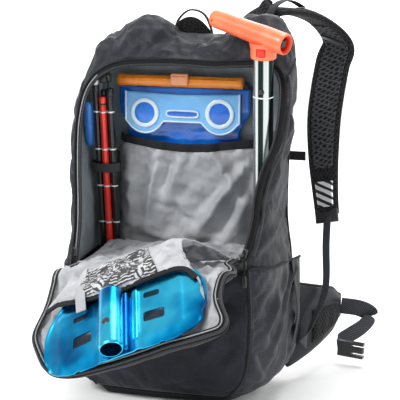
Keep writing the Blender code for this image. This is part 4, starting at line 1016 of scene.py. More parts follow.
U, W_ = grid(100, 60)
left, right = lerp(-122.0, -118.0, W_), lerp(121.0, 108.0, sm(W_ * 2.2))
x = lerp(left, right, U)
y = lerp(-84.0, 29.0, W_)
z = 205 + (x + 122) * 0.082 * (1 - 0.6 * W_) + 10 * W_ - 3 * np.sin(math.pi * W_)
P = np.stack([x, y, z], -1)
LEDGE_FRONT = P[:, 0].copy()
P = ripple(P, 62, 50, 2.4, 0.08, (0, 0, 1), flat=2, width=8.0, lines=(((-100, -70, 0), (0, -20, 0), 5.0), ((-60, -80, 0), (60, -30, 0), 5.0), ((20, -80, 0), (95, -10, 0), 4.5), ((-110, -20, 0), (-20, 15, 0), 4.0), ((40, -60, 0), (-10, 15, 0), 4.0)), sides="lrb")
o = surf("lining_ledge_cloth", P, M_LINING, rep="lining_ledge", thick=0.8, hint=(0, 0, 1))
as_sheet(o, P)
cloth(o, P, border(100, 60), grow=0.05, cap=5.0)

# probe
PF, PH = V(-120, 56, 70), V(-122, 14, 462)
PA = unit(PH - PF)
PS = unit(V(1, 0, 0) - PA * PA[0])
PN = np.cross(PS, PA)
PN = -PN if PN[1] > 0 else PN
for name, a, f, d1, mat in (("probe_segment_left", -11.4, 1.0, 392, M_PROBE), ("probe_segment_red", 0.0, 4.2, 372, M_PROBE_RED),
                            ("probe_segment_right", 11.4, 1.0, 385, M_PROBE), ("probe_segment_rear", -1.0, -7.0, 380, M_PROBE)):
    lathe(name + "_tube", PF + PS * a + PN * f, PA, [(0, 4.2), (0.8, 5.2), (2, 5.4)] + [(d, 5.4) for d in np.linspace(10, d1 - 14, 12)] +
          [(d1 - 13, 5.7), (d1 - 2, 5.7), (d1 - 0.8, 5.3), (d1, 4.4)], mat, "probe", name, sides=24, flat=PS)
    lathe(name + "_ferrule", PF + PS * a + PN * f + PA * (d1 - 13), PA, [(0, 5.5), (0.6, 6.0), (3, 6.0), (3.6, 5.5)], M_PLASTIC, "probe", sides=24)
lathe("probe_tip_cap_visual", PF + PS * -24.6 + PN * 3.0, PA, [(292, 1.2), (296, 3.6), (300, 5.8), (306, 6.8), (330, 7.3), (350, 7.2), (357, 6.6), (361, 4.8), (362.5, 2)], M_BLUE, "probe", "probe_tip_cap", sides=28)
lathe("probe_head_visual", PF + PS * 2 - PN * 1 + PA * 393, PA, [(0, 9.5), (0.8, 11.4), (2.2, 12.8), (6, 13), (11, 12.4), (14.4, 10), (16, 7)], M_PLASTIC, "probe", "probe_head", sides=28, oval=0.7, flat=PS)
lathe("probe_cord_knob", PF + PS * -9 + PN * 8 + PA * 395, PA, [(-5, 1.5), (-4, 4.0), (0, 5.2), (4, 4.0), (5, 1.5)], M_WHITE, "probe", sides=20)
cordp = [PF + PA * 396 + PS * -9 + PN * 6, PF + PA * 404 + PS * -6 + PN * 6, PF + PA * 408 + PS * 2 + PN * 3, PF + PA * 404 + PS * 8 + PN * 5, PF + PA * 392 + PS * 12 + PN * 9, PF + PA * 376 + PS * 10 + PN * 10]
tube("probe_tension_wire", cordp, 1.1, M_BLACK_WEB, "probe", sides=8, n=50)
ring = []
for i in range(13):
    t = math.pi * (1.08 + i * 1.84 / 12)
    ring.append(PF + PA * 262 + PS * (-1 + 23.5 * -math.cos(t)) + PN * (-2 + 15.5 * -math.sin(t)))
strap("tool_loop_elastic", ring, [PA] * 13, 14.0, 2.0, M_GREY_WEB, rep="tool_loop", n=80, m=20)

# drinking bladder
U, W_ = grid(60, 100)
a, b = 2 * U - 1, 2 * W_ - 1
zb = lerp(120, 452, W_)
above = sm((zb - 382) / 40)
xb = lerp(lerp(-100, -110, above), lerp(78, 97, above), U)
fat = np.clip(1 - np.abs(a) ** 4, 0, 1) * np.clip(1 - np.abs(b) ** 6, 0, 1)
yc = lerp(69.5, 57.0, above)
pucker = 1.2 * np.sin(xb / 7.0 + 0.5 * np.sin(zb / 19)) * np.exp(-((zb - 452) / 20) ** 2)
puff = folds(np.stack([xb, yc, zb], -1), 71, 55, 1.4) * fat
seal = np.exp(-((zb - 398) / 3.0) ** 2) * 2.2
A = np.stack([xb, yc - 1.1 - 7.0 * fat + seal + pucker * 0.5 + puff, zb], -1)
Bq = np.stack([xb, yc + 1.1 + 5.4 * fat - seal * 0.6 + pucker * 0.5 + puff * 0.4, zb], -1)
pillow("bladder_bag_film", A, Bq, M_FILM, "bladder", "bladder_bag")
lathe("bladder_closure_bar", (-113, 57, 461), (1, 0, 0), [(0, 6.2), (1, 8.2), (3, 9.2), (9, 9.4), (12, 8.5), (40, 8.6), (100, 8.8), (160, 8.6), (188, 8.5), (191, 9.4), (197, 9.2), (199, 8.2), (200, 6.2)],
      M_ORANGE, "bladder", "bladder_slide_closure", sides=28, oval=0.62, flat=(0, 0, 1))
tube("bladder_closure_rib", [(-104, 51.6, 464.5), (0, 51.4, 464.8), (78, 51.6, 464.5)], 1.2, M_ORANGE, "bladder", sides=8, n=30)
box_form("bladder_clip_body", (27, 7, 18), (-11, 47.5, 465), (1, 0, 0), (0, 1, 0), M_PEACH, "bladder", "bladder_clip", bevel=2.2, seg=4)
tube("bladder_clip_rib", [(-21, 43.6, 469), (-1, 43.6, 469)], 1.0, M_PEACH, "bladder", sides=8)


def loop_tube(name, cx, cz, rx, rz, r, mat, y=48.0, wav=0.0, pw=2.0):
    t = np.linspace(0, 2 * math.pi, 81)
    ct, st = np.cos(t), np.sin(t)
    x = cx + np.sign(ct) * np.abs(ct) ** (2 / pw) * rx
    z = cz + np.sign(st) * np.abs(st) ** (2 / pw) * rz * (1 + wav * np.cos(3 * t))
    tube(name, np.stack([x, np.full_like(x, y), z], -1), r, mat, "bladder", sides=10, ends=False, ref=(0, 1, 0))


for tag, cx, cz in (("left", -66.0, 413.0), ("right", 53.0, 415.0)):
    t = np.linspace(0, 2 * math.pi, 81)
    pts = np.stack([cx + 19.3 * np.cos(t), np.full(81, 45.6), cz + 19.3 * np.sin(t)], -1)
    tube("bladder_ring_" + tag, pts, 1.2, M_FILM_RIM, "bladder", sides=14, ends=False, ref=(0, 1, 0), oval=2.7)
U, W_ = grid(120, 16)
xh = lerp(-96.5, 83.5, U)
zlow = np.full_like(xh, 401.0)
for cx, cz in ((-66.0, 413.0), (53.0, 415.0)):
    inside = np.clip(30.5 ** 2 - (xh - cx) ** 2, 0, None)
    zlow = np.where(inside > 0, -np.log(np.exp(-(zlow - 400) / 3.0) + np.exp(-((cz - np.sqrt(inside)) - 400) / 3.0)) * 3.0 + 400, zlow)
ztop = 446.0 - 4.0 * np.exp(-((xh + 6) / 70) ** 2)
zh = zlow + (ztop - zlow) * W_
yh = 46.9 + 0.5 * np.sin(xh / 11.0)
A = np.stack([xh, yh, zh], -1)
pillow("bladder_handle_plate", A, A + V(0, 1.6, 0), M_FILM_HANDLE, "bladder")
tube("bladder_handle_edge", np.concatenate([[A[0, -1]], A[:, 0] + V(0, -0.2, 0), [A[-1, -1]]]), 1.5, M_FILM_RIM, "bladder", sides=10)
loop_tube("bladder_handle_slot", -6, 413, 25, 5.0, 1.5, M_FILM_RIM, 46.0, pw=4.0)
for tag, cx, cz in (("left", -66.0, 413.0), ("right", 53.0, 415.0)):
    lathe("bladder_window_" + tag, (cx, 46.9, cz), (0, -1, 0), [(0, 16.2), (0.6, 16.4), (0.8, 15.8)], M_FILM, "bladder", sides=48)
box_form("bladder_slot_window", (46, 1.0, 6.4), (-6, 46.3, 413), (1, 0, 0), (0, 1, 0), M_FILM, "bladder", bevel=0.4, seg=2)

# ------------------------------------------------------------------ shovel handle
SA = unit(SHAFT_TOP - SHAFT_FOOT)
SL = float(np.linalg.norm(SHAFT_TOP - SHAFT_FOOT))
ACR = unit(V(1, 0, 0) - SA * SA[0])
FORE = np.cross(SA, ACR)
FORE = -FORE if FORE[1] > 0 else FORE
ang = np.linspace(0, 2 * math.pi, 97)
B_ = np.cross(SA, ACR)
groove = np.zeros(97)
for c in (0.74, 0.24):
    groove += np.exp(-((((ang / (2 * math.pi)) - c + 0.5) % 1 - 0.5) / 0.03) ** 4) * 0.7
prof = [(0, 13.6), (1.2, 14.6)] + [(d, 14.6) for d in np.linspace(12, SL - 12, 14)] + [(SL - 1.2, 14.6), (SL, 13.8), (SL, 12.8), (SL - 3, 12.8)] + [(d, 12.8) for d in np.linspace(SL - 20, 12, 6)] + [(0, 12.8)]
R = []
for d, r in prof:
    rr = r - (groove if r > 14.5 else 0)
    R.append(SHAFT_FOOT + SA * d + np.outer(np.cos(ang) * rr, ACR) + np.outer(np.sin(ang) * rr * 13.2 / 14.6, B_))
shaft = closed_sweep("shovel_shaft_tube", np.array(R), M_SHAFT, "handle", "shovel_shaft")
BTN = SHAFT_FOOT + SA * (SL - 62)
t = lathe("cut_tool", BTN + FORE * 6, FORE, [(0, 4.7), (12, 4.7)], M_PLASTIC, None, sides=28)
cut(shaft, t)
lathe("shaft_button_cap", BTN + FORE * 5.6, FORE, [(0, 6.0), (1.6, 6.0), (1.7, 4.1), (8.2, 4.1), (9.4, 3.4), (10.0, 1.8)], M_PLASTIC, "button", "shaft_button", sides=28)
lathe("shaft_collar_ring", SHAFT_FOOT + SA * (SL - 72), SA, [(0, 14.75), (0.2, 15.0), (1.6, 15.0), (1.8, 14.75)], M_WHITE, "handle", sides=60, oval=13.3 / 14.6, flat=ACR)

GC = SHAFT_TOP + SA * 16.0
GS = unit(SA - GRIP_AXIS * (SA @ GRIP_AXIS))
outer = [(-98 + 0.0, 5.0), (-97.2, 8.6), (-95.4, 11.2), (-92.5, 12.9), (-88, 13.5), (-70, 13.8), (-38, 14.2), (-18, 15.0), (-2, 15.6), (14, 15.7), (30, 15.6), (38, 15.6), (40.6, 15.2), (42, 14.2)]
bore = [(-84, 7.5), (-82, 9.4), (-40, 10.6), (0, 12.2), (38, 12.7), (42, 13.2)]
grip = lathe("shovel_grip_shell", GC, GRIP_AXIS, outer, M_GRIP, "handle", "shovel_grip", sides=56, oval=0.95, flat=GS, bore=bore)
neck = lathe("neck_tool", SHAFT_TOP - SA * 16, SA, [(0, 17.0), (0.8, 18.0), (2.4, 18.5), (14, 18.7), (19, 19.6), (23, 20.5)], M_GRIP, None, sides=56, oval=0.9, flat=ACR)
cut(grip, neck, "UNION")
cut(grip, lathe("c1", SHAFT_TOP - SA * 20, SA, [(0, 15.1), (20.6, 15.1)], M_GRIP, None, sides=48, oval=0.905, flat=ACR))
cut(grip, lathe("c2", GC, GRIP_AXIS, [(-80, 9.2), (-40, 10.4), (0, 12.0), (60, 12.5)], M_GRIP, None, sides=48, oval=0.93, flat=GS))
GV = np.cross(GRIP_AXIS, GS)
GV = -GV if GV[1] > 0 else GV
down = unit(-GS * 0.9 + GV * 0.55)
cut(grip, box_form("c3", (46, 9, 16), GC + GRIP_AXIS * -58 + down * 13, GRIP_AXIS, np.cross(down, GRIP_AXIS), M_GRIP, None, bevel=4.0, seg=4))
cut(grip, lathe("c4", GC + GRIP_AXIS * -88 + GV * 8, GV, [(0, 1.8), (8, 1.8)], M_GRIP, None, sides=20))
cut(grip, box_form("c5", (14, 8, 12), SHAFT_TOP - SA * 5 + FORE * 17.5, ACR, FORE, M_GRIP, None, bevel=1.6, seg=3))
lathe("shovel_grip_liner", GC, GRIP_AXIS, [(-82, 8.6), (-40, 10.0), (0, 11.6), (39, 12.2)], M_GRIP_IN, "handle", sides=48, oval=0.93, flat=GS, bore=[(-78, 7.2), (-40, 8.8), (0, 10.3), (39, 10.8)])
box_form("grip_core", (9.5, 9.5, 60), GC + GRIP_AXIS * 8, GS, GV, M_PLASTIC, "handle", bevel=0.8, seg=2)
box_form("grip_window", (11.5, 2.4, 9.5), SHAFT_TOP - SA * 5 + FORE * 15.2, ACR, FORE, M_GRIP_IN, "handle", bevel=0.8, seg=2)

# ------------------------------------------------------------------ flap
CDIR = K * math.cos(SLANT) + UP * math.sin(SLANT)
CC = in_plane(0, CREASE_AT)


def turn(axis, ang, P):
    ang = np.asarray(ang)[..., None]
    return P * np.cos(ang) + np.cross(np.broadcast_to(axis, P.shape), P) * np.sin(ang) + axis * (P @ axis)[..., None] * (1 - np.cos(ang))


def from_crease(s, w):
    return -s * math.sin(SLANT) + (w - CREASE_AT) * math.cos(SLANT)


def flap_place(s, w, n=0.0, soft=22.0):
    P = in_plane(s, w, n)
    f = sm((from_crease(s, w) + soft) / (2 * soft))
    Q = turn(CDIR, BEND * f, P - CC) + CC
    return turn(K, np.full(f.shape, OPEN), Q - MID) + MID


def flap_end_place(P):
    Q = turn(CDIR, np.full(P.shape[:-1], BEND), P - CC) + CC
    return turn(K, np.full(P.shape[:-1], OPEN), Q - MID) + MID


QL, QR = 7 / 24, 15.6 / 24


def flap_edge(q, out=-1.2):
    p = rim(q, out)
    return np.stack([p[..., 0], np.maximum(p[..., 1], 5.0)], -1)


def bulge(p):
    s, w = p[..., 0], p[..., 1]
    left = sm((-s - 20) / 90)
    right = sm((s - 40) / 110)
    ds = -13 * np.exp(-((w - 208) / 34) ** 2) * left - 30 * np.exp(-((w - 215) / 52) ** 2) * right - 14 * np.exp(-((w - 55) / 45) ** 2) * right
    return np.stack([s + ds, w], -1)


def flap_sw(U, W_):
    z = np.zeros_like(U)
    left, right = flap_edge(QL * W_), flap_edge(1 - (1 - QR) * W_)
    e0, e1 = flap_edge(z), flap_edge(z + 1)
    bottom = e0 + (e1 - e0) * U[..., None]
    top = flap_edge(lerp(QL, QR, U))
    c00, c10, c01, c11 = e0, e1, flap_edge(z + QL), flap_edge(z + QR)
    u, v = U[..., None], W_[..., None]
    return bulge(bottom * (1 - v) + top * v + left * (1 - u) + right * u - (c00 * (1 - u) * (1 - v) + c10 * u * (1 - v) + c01 * (1 - u) * v + c11 * u * v))


def tray(U, W_, p):
    a = np.clip(1 - np.abs(2 * U - 1) ** 5, 0, 1) ** 0.6
    b = sm((p[..., 1] - 12) / 60)
    c = np.clip(1 - W_ ** 7, 0, 1) ** 0.6
    return TRAY * a * b * c * (1 - 0.5 * np.exp(-(from_crease(p[..., 0], p[..., 1]) / 34.0) ** 2))


bs = flap_place(*np.array([0.0, CREASE_AT]) - np.array([0, 0]) if False else (np.array(0.0), np.array(CREASE_AT - 30.0)))
be = flap_place(np.array(0.0), np.array(CREASE_AT + 30.0))
FLAP_BLENDS = []


def flap_piece(o):
    FLAP_BLENDS.append(o)
    return o


U, W_ = grid(120, 140)
SW = flap_sw(U, W_)
tr = tray(U, W_, SW)
inw = window(120, 140, 0.1)
wr = folds(np.stack([SW[..., 0], SW[..., 1], 0 * U], -1), 81, 60, 2.0) * inw
P = flap_place(SW[..., 0], SW[..., 1], tr + wr)
o = surf("flap_outer_cloth", P, M_SHELL, None, ("flap_shell_lower", "flap_shell_upper"), thick=1.2, hint=tuple(P[60, 70] - P[60, 0] * 0 - P[60, 70] + V(0, -0.4, -1)))
as_sheet(o, P)
flap_piece(o)
s, w = SW[..., 0], SW[..., 1]
swp = np.stack([s, w, 0 * s], -1)
billow = 14 * np.exp(-((s + 5) / 75) ** 2 - ((w - 66) / 44) ** 2) * sm(W_ / 0.08)
cre = crease_lines(swp, (((-100, 30, 0), (-30, 70, 0), 7), ((-60, 20, 0), (30, 110, 0), 8), ((40, 20, 0), (90, 90, 0), 7), ((-110, 90, 0), (-20, 110, 0), 8), ((90, 60, 0), (140, 130, 0), 6),
                         ((-120, 150, 0), (-108, 240, 0), 7), ((-100, 60, 0), (-110, 140, 0), 5), ((0, 30, 0), (10, 90, 0), 5), ((60, 60, 0), (20, 120, 0), 6), ((130, 100, 0), (150, 200, 0), 6)), 8.0)
wr2 = folds(swp, 82, 46, 2.8) + folds(swp, 83, 17, 0.9)
blade_zone = sm((from_crease(s, w) - 6) / 30)
n = tr * 0.25 - 2.4 - billow - (cre * (1 - 0.7 * blade_zone) + wr2 * (1 - 0.55 * blade_zone)) * inw
P = flap_place(s, w, n)
lin = surf("flap_lining_cloth", P, M_LINING_WHITE, None, ("flap_lining_lower", "flap_lining_upper"), thick=0.7, hint=(0, -0.2, 1))
as_sheet(lin, P)
cloth(lin, P, border(120, 140), grow=0.045, cap=6.0)
flap_piece(lin)
LIN = P

# the flap's edge: tape, coil and pale piping
qe = np.concatenate([QL * np.linspace(0, 1, 90), lerp(QL, QR, np.linspace(0, 1, 120)[1:]), 1 - (1 - QR) * np.linspace(1, 0, 90)[1:]])
eo, ei = bulge(flap_edge(qe, -1.0)), bulge(flap_edge(qe, -9.5))
eo[:, 1] = np.maximum(eo[:, 1], 5)
ei[:, 1] = np.maximum(ei[:, 1], 5)
A, Bq = flap_place(eo[:, 0], eo[:, 1], -2.2), flap_place(ei[:, 0], ei[:, 1], -5.6)
P = A[:, None] + (Bq - A)[:, None] * np.linspace(0, 1, 6)[None, :, None]
flap_piece(surf("flap_zip_tape_visual", P, M_BLACK_WEB, None, "flap_zip_tape", thick=0.8, hint=(0, -0.2, 1)))
flap_piece(tube("flap_zip_coil", flap_place(eo[:, 0], eo[:, 1], -2.6), 2.2, M_COIL, None, sides=10))
em = bulge(flap_edge(qe, -6.0))
em[:, 1] = np.maximum(em[:, 1], 5)
flap_piece(tube("flap_white_piping", flap_place(em[:, 0], em[:, 1], -5.4), 0.9, M_LIGHT_WEB, None, sides=8))
flap_piece(tube("flap_edge_binding", flap_place(eo[:, 0], eo[:, 1], 1.6), 2.0, M_BINDING, None, sides=10))

# fabric across the fold line, inside and outside
BRIDGES = []
U, W_ = grid(90, 16)
sx = lerp(-118.0, 128.0, U)
i = np.clip((LEDGE_FRONT[:, 0]), -1e9, 1e9)
lf = np.stack([np.interp(lerp(-121, 120.5, U[:, 0]), LEDGE_FRONT[:, 0], LEDGE_FRONT[:, k]) for k in range(3)], -1)
far = flap_place(sx[:, 0], np.full(90, 11.0), -4.0)
mid = (lf + far) / 2 + V(0, -3, 5)
v = np.linspace(0, 1, 16)[None, :, None]
P = lf[:, None] * (1 - v) ** 2 + mid[:, None] * 2 * v * (1 - v) + far[:, None] * v * v
P = P + V(0, 0, 1) * (folds(P, 91, 40, 1.6) * window(90, 16, 0.1))[..., None]
o = surf("fold_lining_bridge", P, M_LINING, None, thick=0.7, hint=(0, -0.1, 1))
as_sheet(o, P)
BRIDGES.append(o)
near = rim3(np.zeros(1), TAPE_W * 0, 0)[0]
sa = lerp(-126.0, 134.0, U[:, 0])
near = in_plane(sa, np.full(90, -3.0), 2.4)
far = flap_place(lerp(-119.0, 129.0, U[:, 0]), np.full(90, 13.0), 1.6)
mid = (near + far) / 2 + V(0, -4, -2)
P = near[:, None] * (1 - v) ** 2 + mid[:, None] * 2 * v * (1 - v) + far[:, None] * v * v
# the outer fabric across the hinge is drawn in the darker shell copy: painted shade under the flap
o = surf("fold_outer_bridge", P, M_SHELL_PAINTED_SHADE, None, thick=1.0, hint=(0, -1, -0.4))
as_sheet(o, P)
BRIDGES.append(o)

# ------------------------------------------------------------------ blade, socket and pocket
def blade_rest(t, l, n):
    s = BLADE_S + t * math.cos(BLADE_TURN) - l * math.sin(BLADE_TURN)
    w = BLADE_W + t * math.sin(BLADE_TURN) + l * math.cos(BLADE_TURN)
    return flap_end_place(in_plane(s, w, n))


def lift(l):
    return -20.5 + BLADE_TILT * l


BDIR = unit(blade_rest(0, 1, BLADE_TILT) - blade_rest(0, 0, 0))
BX = unit(blade_rest(1, 0, 0) - blade_rest(0, 0, 0))
BN = unit(blade_rest(0, 0, 1) - blade_rest(0, 0, 0))
U, W_ = grid(120, 90)
b = 2 * U - 1
l = lerp(-132.0, 42.0, W_)
half = lerp(64.0, 120.0, sm((l + 134) / 112.0)) - 8.0 * sm((l - 6.0) / 36.0) - 6 * sm((-118 - l) / 25)
end = W_ ** 6 * (12 * (1 - np.abs(b) ** 3.4) - 14.0 * np.abs(b) ** 7)
top = (1 - W_) ** 6 * 16 * np.abs(b) ** 5
tt = b * half + 4.5
bn = 14.0 * (tt / 120.0) ** 2 + 0.0042 * np.clip(-58 - l, 0, None) ** 2 + 2.0 * sm((-50 - l) / 20)
ridge = 2.6 * np.exp(-((np.abs(tt - 2) - 27) / 5.0) ** 2) + 1.2 * np.exp(-((np.abs(tt) - 88) / 6) ** 2)
rim_fold = 3.0 * np.clip((np.abs(b) - 0.93) / 0.07, 0, 1) ** 2
fa = lambda off: blade_rest(tt, l + end + top, lift(l) + bn - off - ridge * 0.9 - rim_fold * 0.9 + 3.0 * sm((l - 22) / 26))
blade = pillow("shovel_blade_plate", fa(2.0), fa(0.0), M_BLADE, "blade", "shovel_blade")
for i, (tc, lc, ww, hh) in enumerate(((-53, 2, 29, 19), (53, 4, 29, 17), (-56, -38, 24, 9), (50, -34, 22, 10))):
    cut(blade, box_form("slot_cut", (ww, hh, 50), blade_rest(tc, lc, -12), BX, BDIR, M_BLADE, None, bevel=3.4, seg=4))
for side in (-1, 1):
    cut(blade, box_form("notch_cut", (7, 6, 50), blade_rest(side * 62, 53 if side < 0 else 54, -12), BX, BDIR, M_BLADE, None, bevel=1.5, seg=3))
sock0 = blade_rest(0, -44, lift(-44) - 17.4)
lathe("blade_socket_tube", sock0, BDIR, [(0, 14.6), (1.2, 16.0), (4, 16.5), (50, 16.4), (96, 16.5), (99, 16.2), (100.3, 15.4)], M_BLADE, "blade", "blade_socket", sides=48, oval=0.9, flat=BX, bore=[(0, 14.2), (60, 14.2), (100.3, 14.3)])
lathe("socket_throat", sock0 + BDIR * 30, BDIR, [(0, 13.9), (2, 14.1), (3, 14.1)], M_PLASTIC, "blade", sides=40, oval=0.9, flat=BX)
UP_N = -BN
t = np.linspace(0, math.pi, 24)
cres = sock0 + BDIR * 62 + UP_N * 14.4
lathe("socket_button_hole", cres, UP_N, [(0, 4.6), (0.5, 5.4), (0.9, 4.4), (1.0, 3.9)], M_PLASTIC, "blade", sides=28)
for side in (-1, 1):
    Pq = [blade_rest(side * 15.5, ll, lift(ll) - 6.0) for ll in np.linspace(-44, 52, 24)]
    tube("socket_weld_%d" % (side + 2), Pq, 3.0, M_BLADE_DEEP, "blade", sides=12)
Pq = np.array([blade_rest(27, ll, lift(ll) - 3.2) for ll in np.linspace(-60, 46, 30)])
strap("blade_flat_rib", Pq[::3], [BX] * 10, 8.5, 3.4, M_BLADE, "blade", n=50, m=24, p=3.5)
for k in range(18):
    ll = -30 + k * 4.4
    lathe("socket_knurl_%02d" % k, blade_rest(-18.5, ll, lift(ll) - 8.5), BN * -1, [(0, 1.5), (0.8, 1.4), (1.6, 0.6)], M_BLADE_DEEP, "blade", sides=10)

mt = np.array([-118, -113, -95, -52, 3, 47, 89, 108, 116, 122.0])
ml = np.array([-84, -82, -82, -62, -50, -56, -62, -52, -32, 2.0])
NB = 44
U, W_ = grid(110, NB)
b = 2 * U - 1
tm = b * 119 + 3
lm = np.interp(tm, mt, ml)
l = lerp(-122.0, lm, W_)
tt = b * lerp(90.0, 119.0, sm(W_)) + 3
bag = 6.0 * np.clip(1 - b ** 4, 0, 1) * np.sin(math.pi * (0.12 + 0.76 * W_)) + 2.0 * np.clip(1 - b * b, 0, 1) * W_
n = lift(l) - 4.6 + 14 * (tt / 120) ** 2 + 0.0024 * np.clip(-60 - l, 0, None) ** 2 - bag
P = blade_rest(tt, l, n)
foot_w = lerp(20.0, 34.0, np.sin(math.pi * U[:, 0]))
FOOT = flap_place(lerp(-104.0, 122.0, U[:, 0]), foot_w, -4.5)
tan = unit(P[:, 0] - P[:, 2])
v = np.linspace(0, 1, 36)[None, :-1, None]
c1, c2 = FOOT + BN * -12.0, P[:, 0] + tan * 26
LOWER = (FOOT[:, None] * (1 - v) ** 3 + 3 * c1[:, None] * v * (1 - v) ** 2 + 3 * c2[:, None] * v * v * (1 - v) + P[:, :1] * v ** 3)
P = np.concatenate([LOWER, P], 1)
nv_ = P.shape[1]
P = ripple(P, 95, 55, 3.0, 0.06, tuple(-BN), sides="lrbt", width=7, lines=((tuple(P[10, 66]), tuple(P[40, 22]), 5.0), (tuple(P[62, 70]), tuple(P[75, 12]), 4.5), (tuple(P[98, 60]), tuple(P[60, 30]), 5.0), (tuple(P[28, 68]), tuple(P[22, 15]), 4.0), (tuple(P[45, 60]), tuple(P[90, 18]), 4.0)))
P = ripple(P, 96, 20, 1.2, 0.06, tuple(-BN), sides="lrbt")
o = surf("blade_pocket_cloth", P, M_LINING_WHITE, None, "blade_pocket", thick=0.8, hint=tuple(-BN))
as_sheet(o, P)
cloth(o, P, border(110, nv_, sides="lrbt"), grow=0.05, cap=5.0)
flap_piece(o)
POCK = P
# printed patch sewn on the pocket, following its surface
ia, ib, ja, jb = 24, 82, 33, 74
PU, PV = np.meshgrid(np.arange(ia, ib + 1), np.arange(ja, jb + 1), indexing="ij")
sub = POCK[PU, PV]
sub = sub + normals(POCK, tuple(-BN))[PU, PV] * 0.9
PATCH = surf("lining_print_patch", sub, M_PRINT, None, thick=0.3, hint=tuple(-BN))
as_sheet(PATCH, sub)
flap_piece(PATCH)
mouth = P[:, -1]
strap("blade_pocket_binding", mouth[::5], [BDIR] * len(mouth[::5]), 8.5, 2.6, M_BLACK_WEB, "flap_end", n=120, m=18)
tabp = np.array([blade_rest(-50, ll, lift(ll) - 12.0 + 4.0 * sm((ll + 70) / 40)) for ll in np.linspace(-84, -40, 8)])
strap("pocket_pull_tab", tabp, [BX] * 8, 15.0, 1.6, M_LIGHT_WEB, "flap_end", n=40, m=18)

# ------------------------------------------------------------------ zips' sliders and pulls (the sliders keep their modelled shape)
for side, dq in (("left", 1), ("right", -1)):
    lo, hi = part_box("zip_pull_" + side)
    lo, hi = np.array(lo) / MM, np.array(hi) / MM
    cx = (lo[0] + hi[0]) / 2
    pts = [(cx + 2.0 * dq, hi[1] - 1.5, hi[2]), (cx + 0.8 * dq, (lo[1] + hi[1]) / 2 + 1.0, hi[2] - 16), (cx, (lo[1] + hi[1]) / 2 - 2.5, hi[2] - 34), (cx - 1.8 * dq, lo[1] + 1.5, lo[2] + 1)]
    tube("zip_pull_%s_cord" % side, pts, [1.7] * 4, M_BLACK_WEB, "pull_" + side, "zip_pull_" + side, sides=12, n=None)
    strap("zip_pull_%s_grip" % side, np.array(pts)[2:], [(1, 0, 0)] * 2, 6.0, 4.2, M_PLASTIC, "pull_" + side, n=20, m=20, p=3, round_ends=3)

# ------------------------------------------------------------------ harness
STRAP_R = ((72, 102, 488), (84, 104, 530), (108, 111, 558), (123, 115, 566), (153, 160, 560), (178, 196, 541), (196, 218, 510),
           (186, 228, 480), (176, 240, 435), (169, 248, 385), (170, 245, 325), (176, 235, 274), (184, 221, 228))
SIDES_R = ((1, 0, 0), (1, 0, 0), (0.93, -0.36, 0), (0.83, -0.55, 0), (0.8, -0.6, 0), (0.83, -0.55, 0), (0.95, -0.3, 0),
           (1, 0, 0), (1, 0, 0), (1, 0, 0), (1, 0, 0), (1, 0, 0.1), (0.95, 0, 0.3))
STRAP_L = ((-70, 102, 470), (-76, 106, 496), (-95, 125, 512), (-125, 165, 508), (-148, 195, 485), (-155, 215, 450), (-150, 228, 400),
           (-148, 228, 340), (-152, 218, 280), (-158, 205, 228))
SIDES_L = ((1, 0, 0), (1, 0.1, 0), (0.85, 0.5, 0), (0.85, 0.5, 0), (0.95, 0.3, 0), (1, 0, 0), (1, 0, 0), (1, 0, 0), (1, 0, 0), (0.95, 0, -0.3))


def strap_frame(pts, sides, u):
    u = np.asarray(u, float)
    n = len(pts) - 1
    C = spl(pts, u * n)
    T = unit(spl(pts, np.minimum(1, u + 1e-3) * n) - spl(pts, np.maximum(0, u - 1e-3) * n))
    W = unit(spl(sides, u * n))
    W = unit(W - T * np.sum(W * T, -1, keepdims=True))
    return C, W, np.cross(T, W), T


